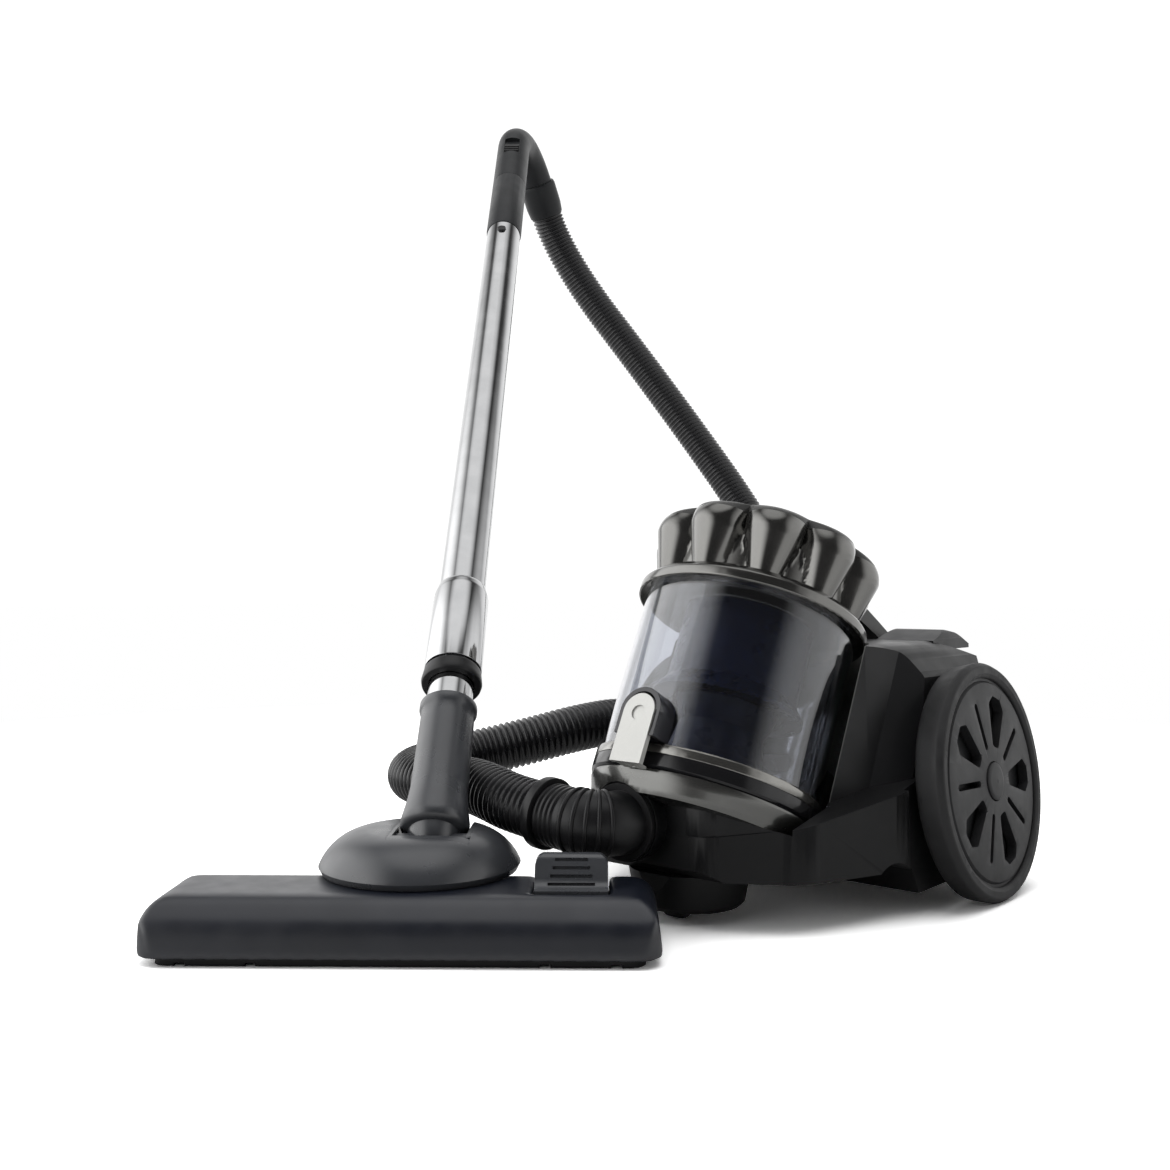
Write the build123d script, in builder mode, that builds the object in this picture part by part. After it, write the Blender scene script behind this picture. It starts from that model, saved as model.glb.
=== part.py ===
"""Bagless canister vacuum cleaner with its hose, telescopic wand and floor head.

Millimetres, +Z up, the floor at Z = 0. The canister points along -Y and its left side is +X.
The head and the wand stand in front of it, turned as they are parked.
"""

import os
from math import atan2, cos, pi, radians, sin, tan

from build123d import *

os.makedirs("parts", exist_ok=True)

# Placement of the canister in the part's frame: the floor point under the axle line
AXLE_X = 223.1
AXLE_Y = 65.9

# Clearances
RUN_GAP = 0.3
SLIDE_GAP = 0.5
SEAT_GAP = 0.3
WELL_GAP = 4.0

# Canister body
WALL = 3.5
FRONT_Y = -205.0
REAR_Y = 100.0
BODY_TOP = 178.0
HOUSING_HALF = 112.0
SKIRT_STEP = 7.0
SKIRT_HALF = HOUSING_HALF + SKIRT_STEP
HOUSING_FRONT_Y = -150.0
SHOULDER_IN = 22.0
SHOULDER_HALF = HOUSING_HALF - SHOULDER_IN
SHOULDER_Z = 152.0
TAIL_Z = 136.0
CROWN_Y = 72.0
CROWN_Z = 164.0
RIDGE_Y = 20.0
NOSE_HALF = 38.0
CHEEK_HALF = 90.0
CHEEK_Y = -170.0
TAIL_HALF = 78.0
PAN_FRONT_Z = 33.0
PAN_REAR_Z = 15.0
PAN_STEP_Y = -72.0
SEAM_Y = -71.0
SEAM_Z = 88.0
SEAM_ANGLE = 11.5
CAVITY_HALF = 80.0
ARCH_R = 17.0
ARCH_Y = -98.0
ARCH_Z = 22.0

# Dust bin: it stands on its seat, and heights run along its tilted axis from the underside of the lid ring
BIN_TILT = 25.8
BIN_FOOT_Y = -152.2
BIN_FOOT_Z = 70.7
CUP_R = 75.5
CUP_WALL = 2.5
CUP_H = 117.0
RIM_R = 78.6
RIM_H = 7.0
DOOR_H = 10.0
SEAT_H = 15.5
RECESS_R = 84.0
LID_RING_R = 82.0
LID_RING_H = 12.0
LOBES = 10
LOBE_PITCH_R = 63.0
LOBE_FOOT_R = 11.0
LOBE_TOP_R = 22.0
LOBE_H = 38.0
LOBE_WALL = 3.0
CAP_H = 12.0
CAP_TOP_R = 64.0
CAP_EDGE_R = 87.0
HANDLE_HALF = 27.0
HANDLE_T = 11.0
HANDLE_END = 160.0
FINGER_HALF = 34.0
FINGER_Y = (104.0, 146.0)
FINGER_D = 15.0
CORE_TUBE_R = 36.0
SHROUD_R = 46.0
SHROUD_H = 54.0

# Door latch on the front of the bin
LATCH_W = 24.0
LATCH_T = 4.0
LATCH_OUT = 92.0
LATCH_TOP = -86.0
SWING_GAP = 1.2
LATCH_PIN_H = -110.0
LATCH_PIN_R = 1.5
CHEEK_T = 3.0

# Wheels
WHEEL_OUT = 30.0
WHEEL_X = HOUSING_HALF + WHEEL_OUT
WHEEL_Z = 83.0
CAMBER = 7.0
TYRE_R = 83.0
TYRE_W = 22.0
RIM_SEAT_R = 72.0
DISC_T = 6.0
HUB_R = 16.0
CAP_R = 13.0
AXLE_R = 4.0
WINDOWS = 5
WINDOW_START = -2.0
WINDOW_FOOT = 24.0
WINDOW_TOP = 60.0
WINDOW_OUTLINE = [
    (WINDOW_FOOT, -4.5),
    (WINDOW_TOP - 7.0, -12.0),
    (WINDOW_TOP, -6.0),
    (WINDOW_TOP, 6.0),
    (WINDOW_TOP - 7.0, 12.0),
    (WINDOW_FOOT, 4.5),
]

# Caster
CASTER_Y = -166.0
CASTER_TRAIL = 12.0
CASTER_R = 14.7
CASTER_W = 13.0
CASTER_WELL_R = 32.0
CASTER_STEM_R = 5.0
POD_WALL = 5.0
POD_Z = 8.0

# Motor, fan and cord reel
MOTOR_X = -34.0
MOTOR_Z = 74.0
MOTOR_R = 44.0
MOTOR_FRONT_Y = -24.0
MOTOR_REAR_Y = 58.0
STATOR_R = 38.0
SHAFT_R = 4.0
FAN_R = 36.0
BLADES = 9
REEL_X = 22.0
REEL_Y = 36.0
REEL_Z = 80.0
REEL_R = 50.0
REEL_W = 44.0

# Exhaust window and cord outlet in the rear wall
VENT_X = (-72.0, 4.0)
VENT_Z = (58.0, 106.0)
VENT_FLANGE = 4.0
VENT_SLOTS = 6
FILTER_T = 12.5
GRILLE_T = 1.5
OUTLET_X = 46.0
OUTLET_Z = 66.0
OUTLET_R = 9.0
CORD_BORE_R = 5.0

# Foot pedals on the rear of the body
PEDAL_IN = 50.0
PEDAL_X = HOUSING_HALF - PEDAL_IN
PEDAL_W = 46.0
PEDAL_Y0 = 22.0
PEDAL_Y1 = 84.0
PEDAL_TRAVEL = 5.0
STEM_R = 5.0

# Hose and its connectors
HOSE_R = 19.5
HOSE_WALL = 2.0
INLET_X = -14.0
INLET_Z = 67.0
BOSS_R = 24.5
BOSS_LIP = 1.5
BOSS_Y = -218.0
ELBOW_R = 20.5
DUCT_R = 17.0
ELBOW_BEND_R = 22.0
ELBOW_TURN = 90.0
ELBOW_ROLL = 5.0
CUFF_L = 24.0
CUFF_R = 23.5

# Floor head, wand and handle
HEAD_YAW = 39.8
PIVOT_X = -89.4
PIVOT_Y = -317.4
WAND_Z = 42.0
WAND_ANGLE = 45.0
HEAD_X = -10.0
HEAD_W = 306.0
HEAD_FRONT = -68.0
HEAD_REAR = 12.0
HEAD_H = 38.0
HEAD_LIFT = 4.5
HEAD_WALL = 3.0
TURRET_X = -9.0
TURRET_Y = 20.0
TURRET_R = 64.0
TURRET_H = 27.0
TILT_Y = 10.0
TILT_Z = 52.0
BARREL_R = 10.4
BARREL_HALF = 24.5
NECK_R = 18.5
NECK_FLARE_R = 21.0
NECK_TOP = 129.0
INNER_TUBE_R = 16.0
OUTER_TUBE_R = 17.5
TUBE_WALL = 1.0
TUBE_SEAT_S = 92.0
SNAP_R = 4.2
TILT_PIN_R = 3.0
COLLAR_S = 149.0
COLLAR_L = 12.0
SLEEVE_R = 20.5
SLEEVE_S = 163.0
SLEEVE_L = 80.0
TUBE_END = 776.0
INNER_TUBE_L = 548.0
GRIP_R = 18.5
GRIP_BORE_R = 12.0
CONNECTOR_L = 107.0
GRIP_L = 93.0
GRIP_BEND_R = 60.0
GRIP_TURN = 105.0
GRIP_ROLL = 17.0
SWIVEL_L = 40.0

TILT_SIN = sin(radians(BIN_TILT))
TILT_COS = cos(radians(BIN_TILT))
BIN_FLOOR = -CUP_H - RIM_H - DOOR_H
BIN_Y = BIN_FOOT_Y - BIN_FLOOR * TILT_SIN
BIN_Z = BIN_FOOT_Z - BIN_FLOOR * TILT_COS


def at(x, y, z):
    """A point given from the floor under the axle, in the part's frame."""
    return Vector(AXLE_X + x, AXLE_Y + y, z)


def seam(y):
    """Height of the joint between the base pan and the parts above it."""
    return SEAM_Z + (y - SEAM_Y) * tan(radians(SEAM_ANGLE))


def behind_bin(distance, z):
    """Canister y of a line along the bin, a distance behind the bin's axis."""
    return BIN_Y + distance / TILT_COS + (z - BIN_Z) * TILT_SIN / TILT_COS


def bin_level(height, y):
    """Canister z of a plane square to the bin's axis at a height along it."""
    foot_y = BIN_Y + height * TILT_SIN
    foot_z = BIN_Z + height * TILT_COS
    return foot_z - (y - foot_y) * TILT_SIN / TILT_COS


TOP = Plane(origin=at(0, 0, 0))
SIDE = Plane(origin=at(0, 0, 0), x_dir=(0, 1, 0), z_dir=(1, 0, 0))
FRONT = Plane(origin=at(0, 0, 0), x_dir=(1, 0, 0), z_dir=(0, -1, 0))
BIN = Plane(origin=at(0, BIN_Y, BIN_Z), x_dir=(1, 0, 0), z_dir=(0, TILT_SIN, TILT_COS))
BIN_SIDE = Plane(origin=BIN.origin, x_dir=BIN.y_dir, z_dir=(1, 0, 0))
HEAD = Plane(
    origin=at(PIVOT_X, PIVOT_Y, 0),
    x_dir=(cos(radians(HEAD_YAW)), sin(radians(HEAD_YAW)), 0),
    z_dir=(0, 0, 1),
)
HEAD_SIDE = Plane(origin=HEAD.origin, x_dir=HEAD.y_dir, z_dir=HEAD.x_dir)
HEAD_FRONT_VIEW = Plane(origin=HEAD.origin, x_dir=HEAD.x_dir, z_dir=-HEAD.y_dir)
WAND_DIR = HEAD.y_dir * cos(radians(WAND_ANGLE)) + HEAD.z_dir * sin(radians(WAND_ANGLE))
WAND = Plane(origin=HEAD.origin + HEAD.z_dir * WAND_Z, x_dir=HEAD.x_dir, z_dir=WAND_DIR)


def wheel_plane(side):
    """The outer face of a wheel, its normal pointing outwards and its Y axis up."""
    normal = (side * cos(radians(CAMBER)), 0, sin(radians(CAMBER)))
    return Plane(origin=at(side * WHEEL_X, 0, WHEEL_Z), x_dir=(0, side, 0), z_dir=normal)


def outline(plane, *points, rounds=()):
    """A closed straight-sided face, with some of its corners rounded: (corner, radius)."""
    with BuildSketch(plane) as face:
        with BuildLine():
            Polyline(*points, close=True)
        make_face()
        for corner, radius in rounds:
            fillet(face.vertices().sort_by_distance(Vector(*corner))[0], radius)
    return face.sketch


def turned(plane, *profile, mode=Mode.ADD):
    """Revolve a (radius, height) profile about the plane's normal."""
    section = Plane(plane.origin, x_dir=plane.x_dir, z_dir=-plane.y_dir)
    revolve(outline(section, *profile), axis=Axis(plane.origin, plane.z_dir), mode=mode)


def rod(plane, radius, start, end, mode=Mode.ADD):
    """A round bar along the plane's normal."""
    with BuildSketch(plane.offset(start)) as disc:
        Circle(radius)
    extrude(disc.sketch, amount=end - start, mode=mode)


def pipe(plane, radius, bore, start, end, mode=Mode.ADD):
    """A round tube along the plane's normal."""
    with BuildSketch(plane.offset(start)) as ring:
        Circle(radius)
        Circle(bore, mode=Mode.SUBTRACT)
    extrude(ring.sketch, amount=end - start, mode=mode)


def block(plane, x_range, y_range, z_range, mode=Mode.ADD):
    """A box given by its ranges in the plane's own axes."""
    with BuildSketch(plane.offset(z_range[0])) as base:
        with Locations(((x_range[0] + x_range[1]) / 2, (y_range[0] + y_range[1]) / 2)):
            Rectangle(x_range[1] - x_range[0], y_range[1] - y_range[0])
    extrude(base.sketch, amount=z_range[1] - z_range[0], mode=mode)


def grown(span, margin):
    """A range widened by a margin at both ends."""
    return (span[0] - margin, span[1] + margin)


def mirrored(points):
    """A half outline and its mirror image across x = 0, as one closed loop."""
    return list(points) + [(-x, y) for x, y in reversed(points)]


# Cuts that several body shells share

SEAT_TOP = BIN_FLOOR - SEAT_GAP
SEAT_BOTTOM = SEAT_TOP - SEAT_H
SEAT_REAR = 20.0
MOTOR_AXIS = Plane(origin=at(MOTOR_X, 0, MOTOR_Z), x_dir=(1, 0, 0), z_dir=(0, 1, 0))
REEL_AXIS = Plane(origin=at(0, REEL_Y, REEL_Z), x_dir=(0, 1, 0), z_dir=(1, 0, 0))
CAVITY_FLOOR = PAN_REAR_Z + WALL
CAVITY_FRONT = PAN_STEP_Y + 8.0
CAVITY_REAR = REAR_Y - 5.0
PEDAL_BED_Z = BODY_TOP - 13.0
OUTLET = Plane(origin=at(OUTLET_X, 0, OUTLET_Z), x_dir=(1, 0, 0), z_dir=(0, 1, 0))


def cut_bin_recess():
    """The round well that the bin drops into along its axis, and the seat in its front half."""
    rod(BIN, RECESS_R, SEAT_TOP, CUP_H, Mode.SUBTRACT)
    block(BIN, (-RECESS_R, RECESS_R), (-2 * RECESS_R, SEAT_REAR), (SEAT_BOTTOM, 0), Mode.SUBTRACT)


def cut_wheel_wells():
    """The pockets that the leaning wheels turn in."""
    for side in (1, -1):
        rod(wheel_plane(side), TYRE_R + WELL_GAP, -TYRE_W - WELL_GAP, TYRE_W * 2, Mode.SUBTRACT)


def cut_machine_room():
    """The room for the motor and the cord reel behind the bin."""
    slope = RECESS_R + WALL
    ceiling = BODY_TOP - 22.0
    face = outline(
        SIDE,
        (CAVITY_FRONT, CAVITY_FLOOR),
        (CAVITY_REAR - 26.0, CAVITY_FLOOR),
        (CAVITY_REAR, CAVITY_FLOOR + 28.0),
        (CAVITY_REAR, ceiling - 24.0),
        (CAVITY_REAR - 20.0, ceiling),
        (behind_bin(slope, ceiling), ceiling),
        (CAVITY_FRONT, BIN_Z + (CAVITY_FRONT - BIN_Y - slope / TILT_COS) * TILT_COS / TILT_SIN),
    )
    extrude(face, amount=CAVITY_HALF, both=True, mode=Mode.SUBTRACT)


def skirt_plan():
    """Outline of the skirt seen from above."""
    plan = [
        (NOSE_HALF, FRONT_Y, 34.0),
        (CHEEK_HALF, CHEEK_Y, 40.0),
        (SKIRT_HALF, -92.0, 40.0),
        (SKIRT_HALF, 52.0, 30.0),
        (TAIL_HALF, REAR_Y, 26.0),
    ]
    return outline(
        TOP,
        *mirrored([(x, y) for x, y, radius in plan]),
        rounds=[((side * x, y), radius) for side in (1, -1) for x, y, radius in plan],
    )


# Base pan: the grey skirt and the floor of the machine room

with BuildPart() as base_pan:
    face = outline(
        SIDE,
        (FRONT_Y, PAN_FRONT_Z + 6.0),
        (FRONT_Y + 8.0, PAN_FRONT_Z),
        (PAN_STEP_Y - 10.0, PAN_FRONT_Z),
        (PAN_STEP_Y, PAN_REAR_Z),
        (REAR_Y - 28.0, PAN_REAR_Z),
        (REAR_Y, PAN_REAR_Z + 30.0),
        (REAR_Y, seam(REAR_Y)),
        (FRONT_Y, seam(FRONT_Y)),
    )
    extrude(face, amount=SKIRT_HALF, both=True)
    extrude(skirt_plan(), amount=BODY_TOP, mode=Mode.INTERSECT)
    for side in (1, -1):
        with BuildSketch(SIDE.offset(side * (RECESS_R + WALL))):
            with Locations((ARCH_Y, ARCH_Z)):
                Circle(ARCH_R)
        extrude(amount=side * SKIRT_HALF, mode=Mode.SUBTRACT)
    cut_bin_recess()
    cut_wheel_wells()
    cut_machine_room()
    rod(Plane(origin=at(0, CASTER_Y, 0)), CASTER_WELL_R, 0, PAN_FRONT_Z + 1.0, Mode.SUBTRACT)
    rod(Plane(origin=at(0, CASTER_Y, 0)), CASTER_STEM_R + RUN_GAP, 0, PAN_FRONT_Z + 14.0, Mode.SUBTRACT)
    for side in (1, -1):
        rod(wheel_plane(side), AXLE_R, -TYRE_W - WELL_GAP - 20.0, 0, Mode.SUBTRACT)
    # Saddle under the motor and the bracket foot under the reel
    block(TOP, (MOTOR_X - 30.0, MOTOR_X + 30.0), (-14.0, 46.0), (CAVITY_FLOOR - 0.5, MOTOR_Z - 26.0))
    rod(MOTOR_AXIS, MOTOR_R + 0.1, MOTOR_FRONT_Y - 30.0, MOTOR_REAR_Y + 30.0, Mode.SUBTRACT)
    # Exhaust window and cord outlet in the rear wall
    block(TOP, VENT_X, (CAVITY_REAR - 1.0, REAR_Y + 1.0), VENT_Z, Mode.SUBTRACT)
    rod(OUTLET, OUTLET_R, CAVITY_REAR - 1.0, REAR_Y + 1.0, Mode.SUBTRACT)

# Front cowl with the round hose inlet

INLET = Plane(origin=at(INLET_X, 0, INLET_Z), x_dir=(1, 0, 0), z_dir=(0, -1, 0))

with BuildPart() as front_cowl:
    wedge_end = FRONT_Y + 60.0
    face = outline(
        SIDE,
        (FRONT_Y, seam(FRONT_Y)),
        (wedge_end, seam(wedge_end)),
        (wedge_end, bin_level(SEAT_BOTTOM, FRONT_Y)),
        (FRONT_Y, bin_level(SEAT_BOTTOM, FRONT_Y)),
    )
    extrude(face, amount=SKIRT_HALF, both=True)
    face = outline(
        TOP,
        *mirrored([(NOSE_HALF - 2.0, FRONT_Y), (CHEEK_HALF - 2.0, CHEEK_Y), (104.0, -120.0)]),
        rounds=[((side * (NOSE_HALF - 2.0), FRONT_Y), 34.0) for side in (1, -1)],
    )
    extrude(face, amount=BODY_TOP, mode=Mode.INTERSECT)
    block(BIN, (-120.0, 120.0), (-160.0, 160.0), (SEAT_BOTTOM, CUP_H), Mode.SUBTRACT)
    turned(
        INLET,
        (0, -FRONT_Y),
        (BOSS_R, -FRONT_Y),
        (BOSS_R, -BOSS_Y - 3.0),
        (BOSS_R + BOSS_LIP, -BOSS_Y - 3.0),
        (BOSS_R + BOSS_LIP, -BOSS_Y),
        (0, -BOSS_Y),
    )
    rod(BIN, RECESS_R, SEAT_TOP, CUP_H, Mode.SUBTRACT)
    rod(INLET, ELBOW_R + RUN_GAP, -FRONT_Y - 4.0, -BOSS_Y, Mode.SUBTRACT)

# Tilted seat under the bin: the pale band below the bin's door

with BuildPart() as bin_seat:
    turned(
        BIN,
        (0, SEAT_BOTTOM),
        (CUP_R - 2.0, SEAT_BOTTOM),
        (CUP_R + 2.0, SEAT_TOP - 2.0),
        (CUP_R + 2.0, SEAT_TOP),
        (CUP_R - 3.0, SEAT_TOP),
        (CUP_R - 5.0, SEAT_TOP - 3.0),
        (0, SEAT_TOP - 3.0),
    )
    block(BIN, (-100.0, 100.0), (SEAT_REAR, 100.0), (SEAT_BOTTOM, SEAT_TOP), Mode.SUBTRACT)
    rod(INLET, BOSS_R + BOSS_LIP + SEAT_GAP, -FRONT_Y - 4.0, -BOSS_Y + 60.0, Mode.SUBTRACT)

# Rear housing: the black shell that wraps the back of the bin and covers the motor

with BuildPart() as rear_housing:
    face = outline(
        SIDE,
        (HOUSING_FRONT_Y, seam(HOUSING_FRONT_Y)),
        (REAR_Y, seam(REAR_Y)),
        (REAR_Y, TAIL_Z),
        (CROWN_Y, CROWN_Z),
        (RIDGE_Y, BODY_TOP),
        (HOUSING_FRONT_Y, BODY_TOP),
        rounds=[((REAR_Y, TAIL_Z), 12.0), ((CROWN_Y, CROWN_Z), 26.0)],
    )
    extrude(face, amount=HOUSING_HALF, both=True)
    face = outline(
        FRONT,
        *mirrored([(HOUSING_HALF, 40.0), (HOUSING_HALF - 2.0, SHOULDER_Z), (SHOULDER_HALF, BODY_TOP)]),
        rounds=[
            ((side * x, z), 28.0)
            for side in (1, -1)
            for x, z in ((HOUSING_HALF - 2.0, SHOULDER_Z), (SHOULDER_HALF, BODY_TOP))
        ],
    )
    extrude(face, amount=3 * REAR_Y, both=True, mode=Mode.INTERSECT)
    face = outline(
        TOP,
        *mirrored([(HOUSING_HALF, HOUSING_FRONT_Y), (HOUSING_HALF, 48.0), (TAIL_HALF - 4.0, REAR_Y)]),
        rounds=[((side * (TAIL_HALF - 4.0), REAR_Y), 26.0) for side in (1, -1)],
    )
    extrude(face, amount=BODY_TOP + 10.0, mode=Mode.INTERSECT)
    wrap = [(CUP_R, 10.0), (RECESS_R + 8.0, 50.0), (HOUSING_HALF + 18.0, 90.0), (HOUSING_HALF + 18.0, 420.0)]
    face = outline(BIN.offset(-250.0), *mirrored(wrap))
    extrude(face, amount=400.0, mode=Mode.INTERSECT)
    cut_bin_recess()
    cut_wheel_wells()
    cut_machine_room()
    # Channel that takes the end of the carry handle
    handle_floor = LID_RING_H + LOBE_H
    block(
        BIN,
        (-HANDLE_HALF - 3.0, HANDLE_HALF + 3.0),
        (60.0, HANDLE_END + 8.0),
        (handle_floor - SLIDE_GAP, BODY_TOP),
        Mode.SUBTRACT,
    )
    # Finger well under the carry handle
    block(
        BIN,
        (-FINGER_HALF, FINGER_HALF),
        FINGER_Y,
        (handle_floor - FINGER_D, BODY_TOP),
        Mode.SUBTRACT,
    )
    # Pedal beds and their stem holes
    for side in (1, -1):
        block(
            TOP,
            (side * PEDAL_X - PEDAL_W / 2 - SLIDE_GAP, side * PEDAL_X + PEDAL_W / 2 + SLIDE_GAP),
            (PEDAL_Y0 - SLIDE_GAP, PEDAL_Y1 + SLIDE_GAP),
            (PEDAL_BED_Z, BODY_TOP + 20.0),
            Mode.SUBTRACT,
        )
        rod(Plane(origin=at(side * PEDAL_X, 40.0, 0)), STEM_R + RUN_GAP, 100.0, BODY_TOP, Mode.SUBTRACT)

# Foot pedals


def pedal(side):
    """A crowned foot pedal with its stem, pressed straight down."""
    low = PEDAL_BED_Z + PEDAL_TRAVEL + 1.0
    with BuildPart() as pad:
        face = outline(
            SIDE.offset(side * PEDAL_X - PEDAL_W / 2),
            (PEDAL_Y0, low),
            (PEDAL_Y1, low),
            (PEDAL_Y1, low + 3.0),
            (PEDAL_Y1 - 22.0, BODY_TOP + 5.0),
            (PEDAL_Y0 + 24.0, BODY_TOP + 8.0),
            (PEDAL_Y0, BODY_TOP),
            rounds=[
                ((PEDAL_Y1 - 22.0, BODY_TOP + 5.0), 12.0),
                ((PEDAL_Y0 + 24.0, BODY_TOP + 8.0), 14.0),
            ],
        )
        extrude(face, amount=PEDAL_W)
        left = side * PEDAL_X - PEDAL_W / 2
        crown = BODY_TOP + 8.0
        face = outline(
            FRONT,
            (left, 0),
            (left + PEDAL_W, 0),
            (left + PEDAL_W, crown),
            (left, crown),
            rounds=[((left, crown), 7.0), ((left + PEDAL_W, crown), 7.0)],
        )
        extrude(face, amount=2 * REAR_Y, both=True, mode=Mode.INTERSECT)
        rod(Plane(origin=at(side * PEDAL_X, 40.0, 0)), STEM_R, BODY_TOP - 32.0, low)
    return pad


power_pedal = pedal(-1)
rewind_pedal = pedal(1)

# Motor, fan and switch

with BuildPart() as motor_case:
    pipe(MOTOR_AXIS, MOTOR_R, MOTOR_R - 2.5, MOTOR_FRONT_Y, MOTOR_REAR_Y)
    pipe(MOTOR_AXIS, MOTOR_R, 16.0, MOTOR_FRONT_Y, MOTOR_FRONT_Y + 2.5)
    for start in (MOTOR_FRONT_Y + 24.0, MOTOR_REAR_Y - 10.0):
        pipe(MOTOR_AXIS, MOTOR_R - 2.0, STATOR_R, start, start + 4.0)

with BuildPart() as motor_stator:
    pipe(MOTOR_AXIS, STATOR_R, 22.0, MOTOR_FRONT_Y + 22.0, MOTOR_REAR_Y)
    for start in (MOTOR_FRONT_Y + 22.0, MOTOR_REAR_Y - 5.0):
        pipe(MOTOR_AXIS, 22.0, SHAFT_R + RUN_GAP, start, start + 5.0)

with BuildPart() as motor_rotor:
    rod(MOTOR_AXIS, SHAFT_R, MOTOR_FRONT_Y + 4.0, MOTOR_REAR_Y + 4.0)
    rod(MOTOR_AXIS, 20.0, MOTOR_FRONT_Y + 34.0, MOTOR_REAR_Y - 12.0)

with BuildPart() as fan_wheel:
    pipe(MOTOR_AXIS, FAN_R, SHAFT_R, MOTOR_FRONT_Y + 15.0, MOTOR_FRONT_Y + 17.0)
    pipe(MOTOR_AXIS, 10.0, SHAFT_R, MOTOR_FRONT_Y + 6.0, MOTOR_FRONT_Y + 17.0)
    with BuildSketch(MOTOR_AXIS.offset(MOTOR_FRONT_Y + 6.0)):
        with PolarLocations(9.0, BLADES):
            with Locations(Location((12.5, 0), 24.0)):
                Rectangle(26.0, 1.6)
    extrude(amount=9.0)

with BuildPart() as power_switch:
    stem_tip = BODY_TOP - 32.0 - PEDAL_TRAVEL
    switch_x = -PEDAL_X
    block(TOP, (switch_x - 9.0, switch_x + 9.0), (28.0, 52.0), (MOTOR_Z + MOTOR_R - 16.0, stem_tip))
    rod(MOTOR_AXIS, MOTOR_R + 0.1, MOTOR_FRONT_Y, MOTOR_REAR_Y, Mode.SUBTRACT)

with BuildPart() as cord_reel:
    turned(
        REEL_AXIS,
        (AXLE_R + RUN_GAP, REEL_X),
        (REEL_R, REEL_X),
        (REEL_R, REEL_X + 2.5),
        (24.0, REEL_X + 2.5),
        (24.0, REEL_X + REEL_W - 2.5),
        (REEL_R, REEL_X + REEL_W - 2.5),
        (REEL_R, REEL_X + REEL_W),
        (AXLE_R + RUN_GAP, REEL_X + REEL_W),
    )

with BuildPart() as reel_bracket:
    plate_x = REEL_X - 6.0
    block(TOP, (plate_x - 4.0, plate_x), (REEL_Y - 18.0, REEL_Y + 18.0), (CAVITY_FLOOR, REEL_Z + 14.0))
    rod(REEL_AXIS, 9.0, plate_x, REEL_X - RUN_GAP)
    rod(REEL_AXIS, AXLE_R, plate_x, REEL_X + REEL_W + 4.0)

with BuildPart() as exhaust_filter:
    block(
        TOP,
        grown(VENT_X, -2.0),
        (CAVITY_REAR - GRILLE_T - FILTER_T, CAVITY_REAR - GRILLE_T),
        grown(VENT_Z, VENT_FLANGE - 2.0),
    )

with BuildPart() as exhaust_grille:
    block(TOP, grown(VENT_X, VENT_FLANGE), (CAVITY_REAR - GRILLE_T, CAVITY_REAR), grown(VENT_Z, VENT_FLANGE))
    block(TOP, grown(VENT_X, -SLIDE_GAP), (CAVITY_REAR, REAR_Y), grown(VENT_Z, -SLIDE_GAP))
    pitch = (VENT_Z[1] - VENT_Z[0] - 6.0) / VENT_SLOTS
    for row in range(VENT_SLOTS):
        low = VENT_Z[0] + 3.0 + pitch * (row + 0.25)
        slot_z = (low, low + pitch / 2)
        block(TOP, grown(VENT_X, -5.0), (CAVITY_REAR - 2.0, REAR_Y + 1.0), slot_z, Mode.SUBTRACT)

with BuildPart() as cord_outlet:
    turned(
        OUTLET,
        (CORD_BORE_R, CAVITY_REAR),
        (OUTLET_R, CAVITY_REAR),
        (OUTLET_R, REAR_Y),
        (OUTLET_R + 3.0, REAR_Y),
        (OUTLET_R + 2.0, REAR_Y + 2.5),
        (CORD_BORE_R + 1.5, REAR_Y + 2.5),
        (CORD_BORE_R, REAR_Y),
    )

# Wheels


def tyre(side):
    """A soft tyre whose tread lies flat on the floor although the wheel leans."""
    lean = tan(radians(CAMBER))
    plane = wheel_plane(side)
    with BuildPart() as ring:
        turned(
            plane,
            (RIM_SEAT_R, -2.0),
            (RIM_SEAT_R + 3.0, -0.5),
            (TYRE_R - 3.0, -0.5),
            (TYRE_R, -5.0),
            (TYRE_R - (TYRE_W - 7.0) * lean, -TYRE_W + 2.0),
            (TYRE_R - 5.0, -TYRE_W),
            (RIM_SEAT_R, -TYRE_W),
        )
    return ring


def wheel_disc(side):
    """The spoked disc with five broad windows and five slim ones, its rim and its hub."""
    plane = wheel_plane(side)
    with BuildPart() as disc:
        turned(
            plane,
            (AXLE_R + RUN_GAP, -TYRE_W),
            (HUB_R, -TYRE_W),
            (HUB_R, -DISC_T - 2.0),
            (RIM_SEAT_R - 3.5, -DISC_T - 3.0),
            (RIM_SEAT_R - 3.5, -TYRE_W),
            (RIM_SEAT_R, -TYRE_W),
            (RIM_SEAT_R, -4.0),
            (RIM_SEAT_R - 2.0, -4.0),
            (RIM_SEAT_R - 3.5, -2.2),
            (HUB_R, -1.0),
            (CAP_R + 0.8, -1.0),
            (CAP_R + 0.8, -4.0),
            (9.0, -4.0),
            (9.0, -9.0),
            (AXLE_R + RUN_GAP, -9.0),
        )
        with BuildSketch(plane.offset(-DISC_T - 4.0)) as openings:
            with PolarLocations(0, WINDOWS, start_angle=WINDOW_START):
                Polygon(*WINDOW_OUTLINE, align=None)
            fillet(openings.vertices(), 3.0)
            with PolarLocations(40.0, WINDOWS, start_angle=WINDOW_START + 180.0 / WINDOWS):
                SlotOverall(34.0, 4.4)
        extrude(amount=DISC_T + 4.0, mode=Mode.SUBTRACT)
    return disc


def hub_cap(side):
    """The round cap over the axle's end."""
    plane = wheel_plane(side)
    with BuildPart() as cap:
        turned(plane, (0, -4.0), (CAP_R, -4.0), (CAP_R, -0.2), (CAP_R - 1.5, 0.6), (0, 1.2))
    return cap


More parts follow.
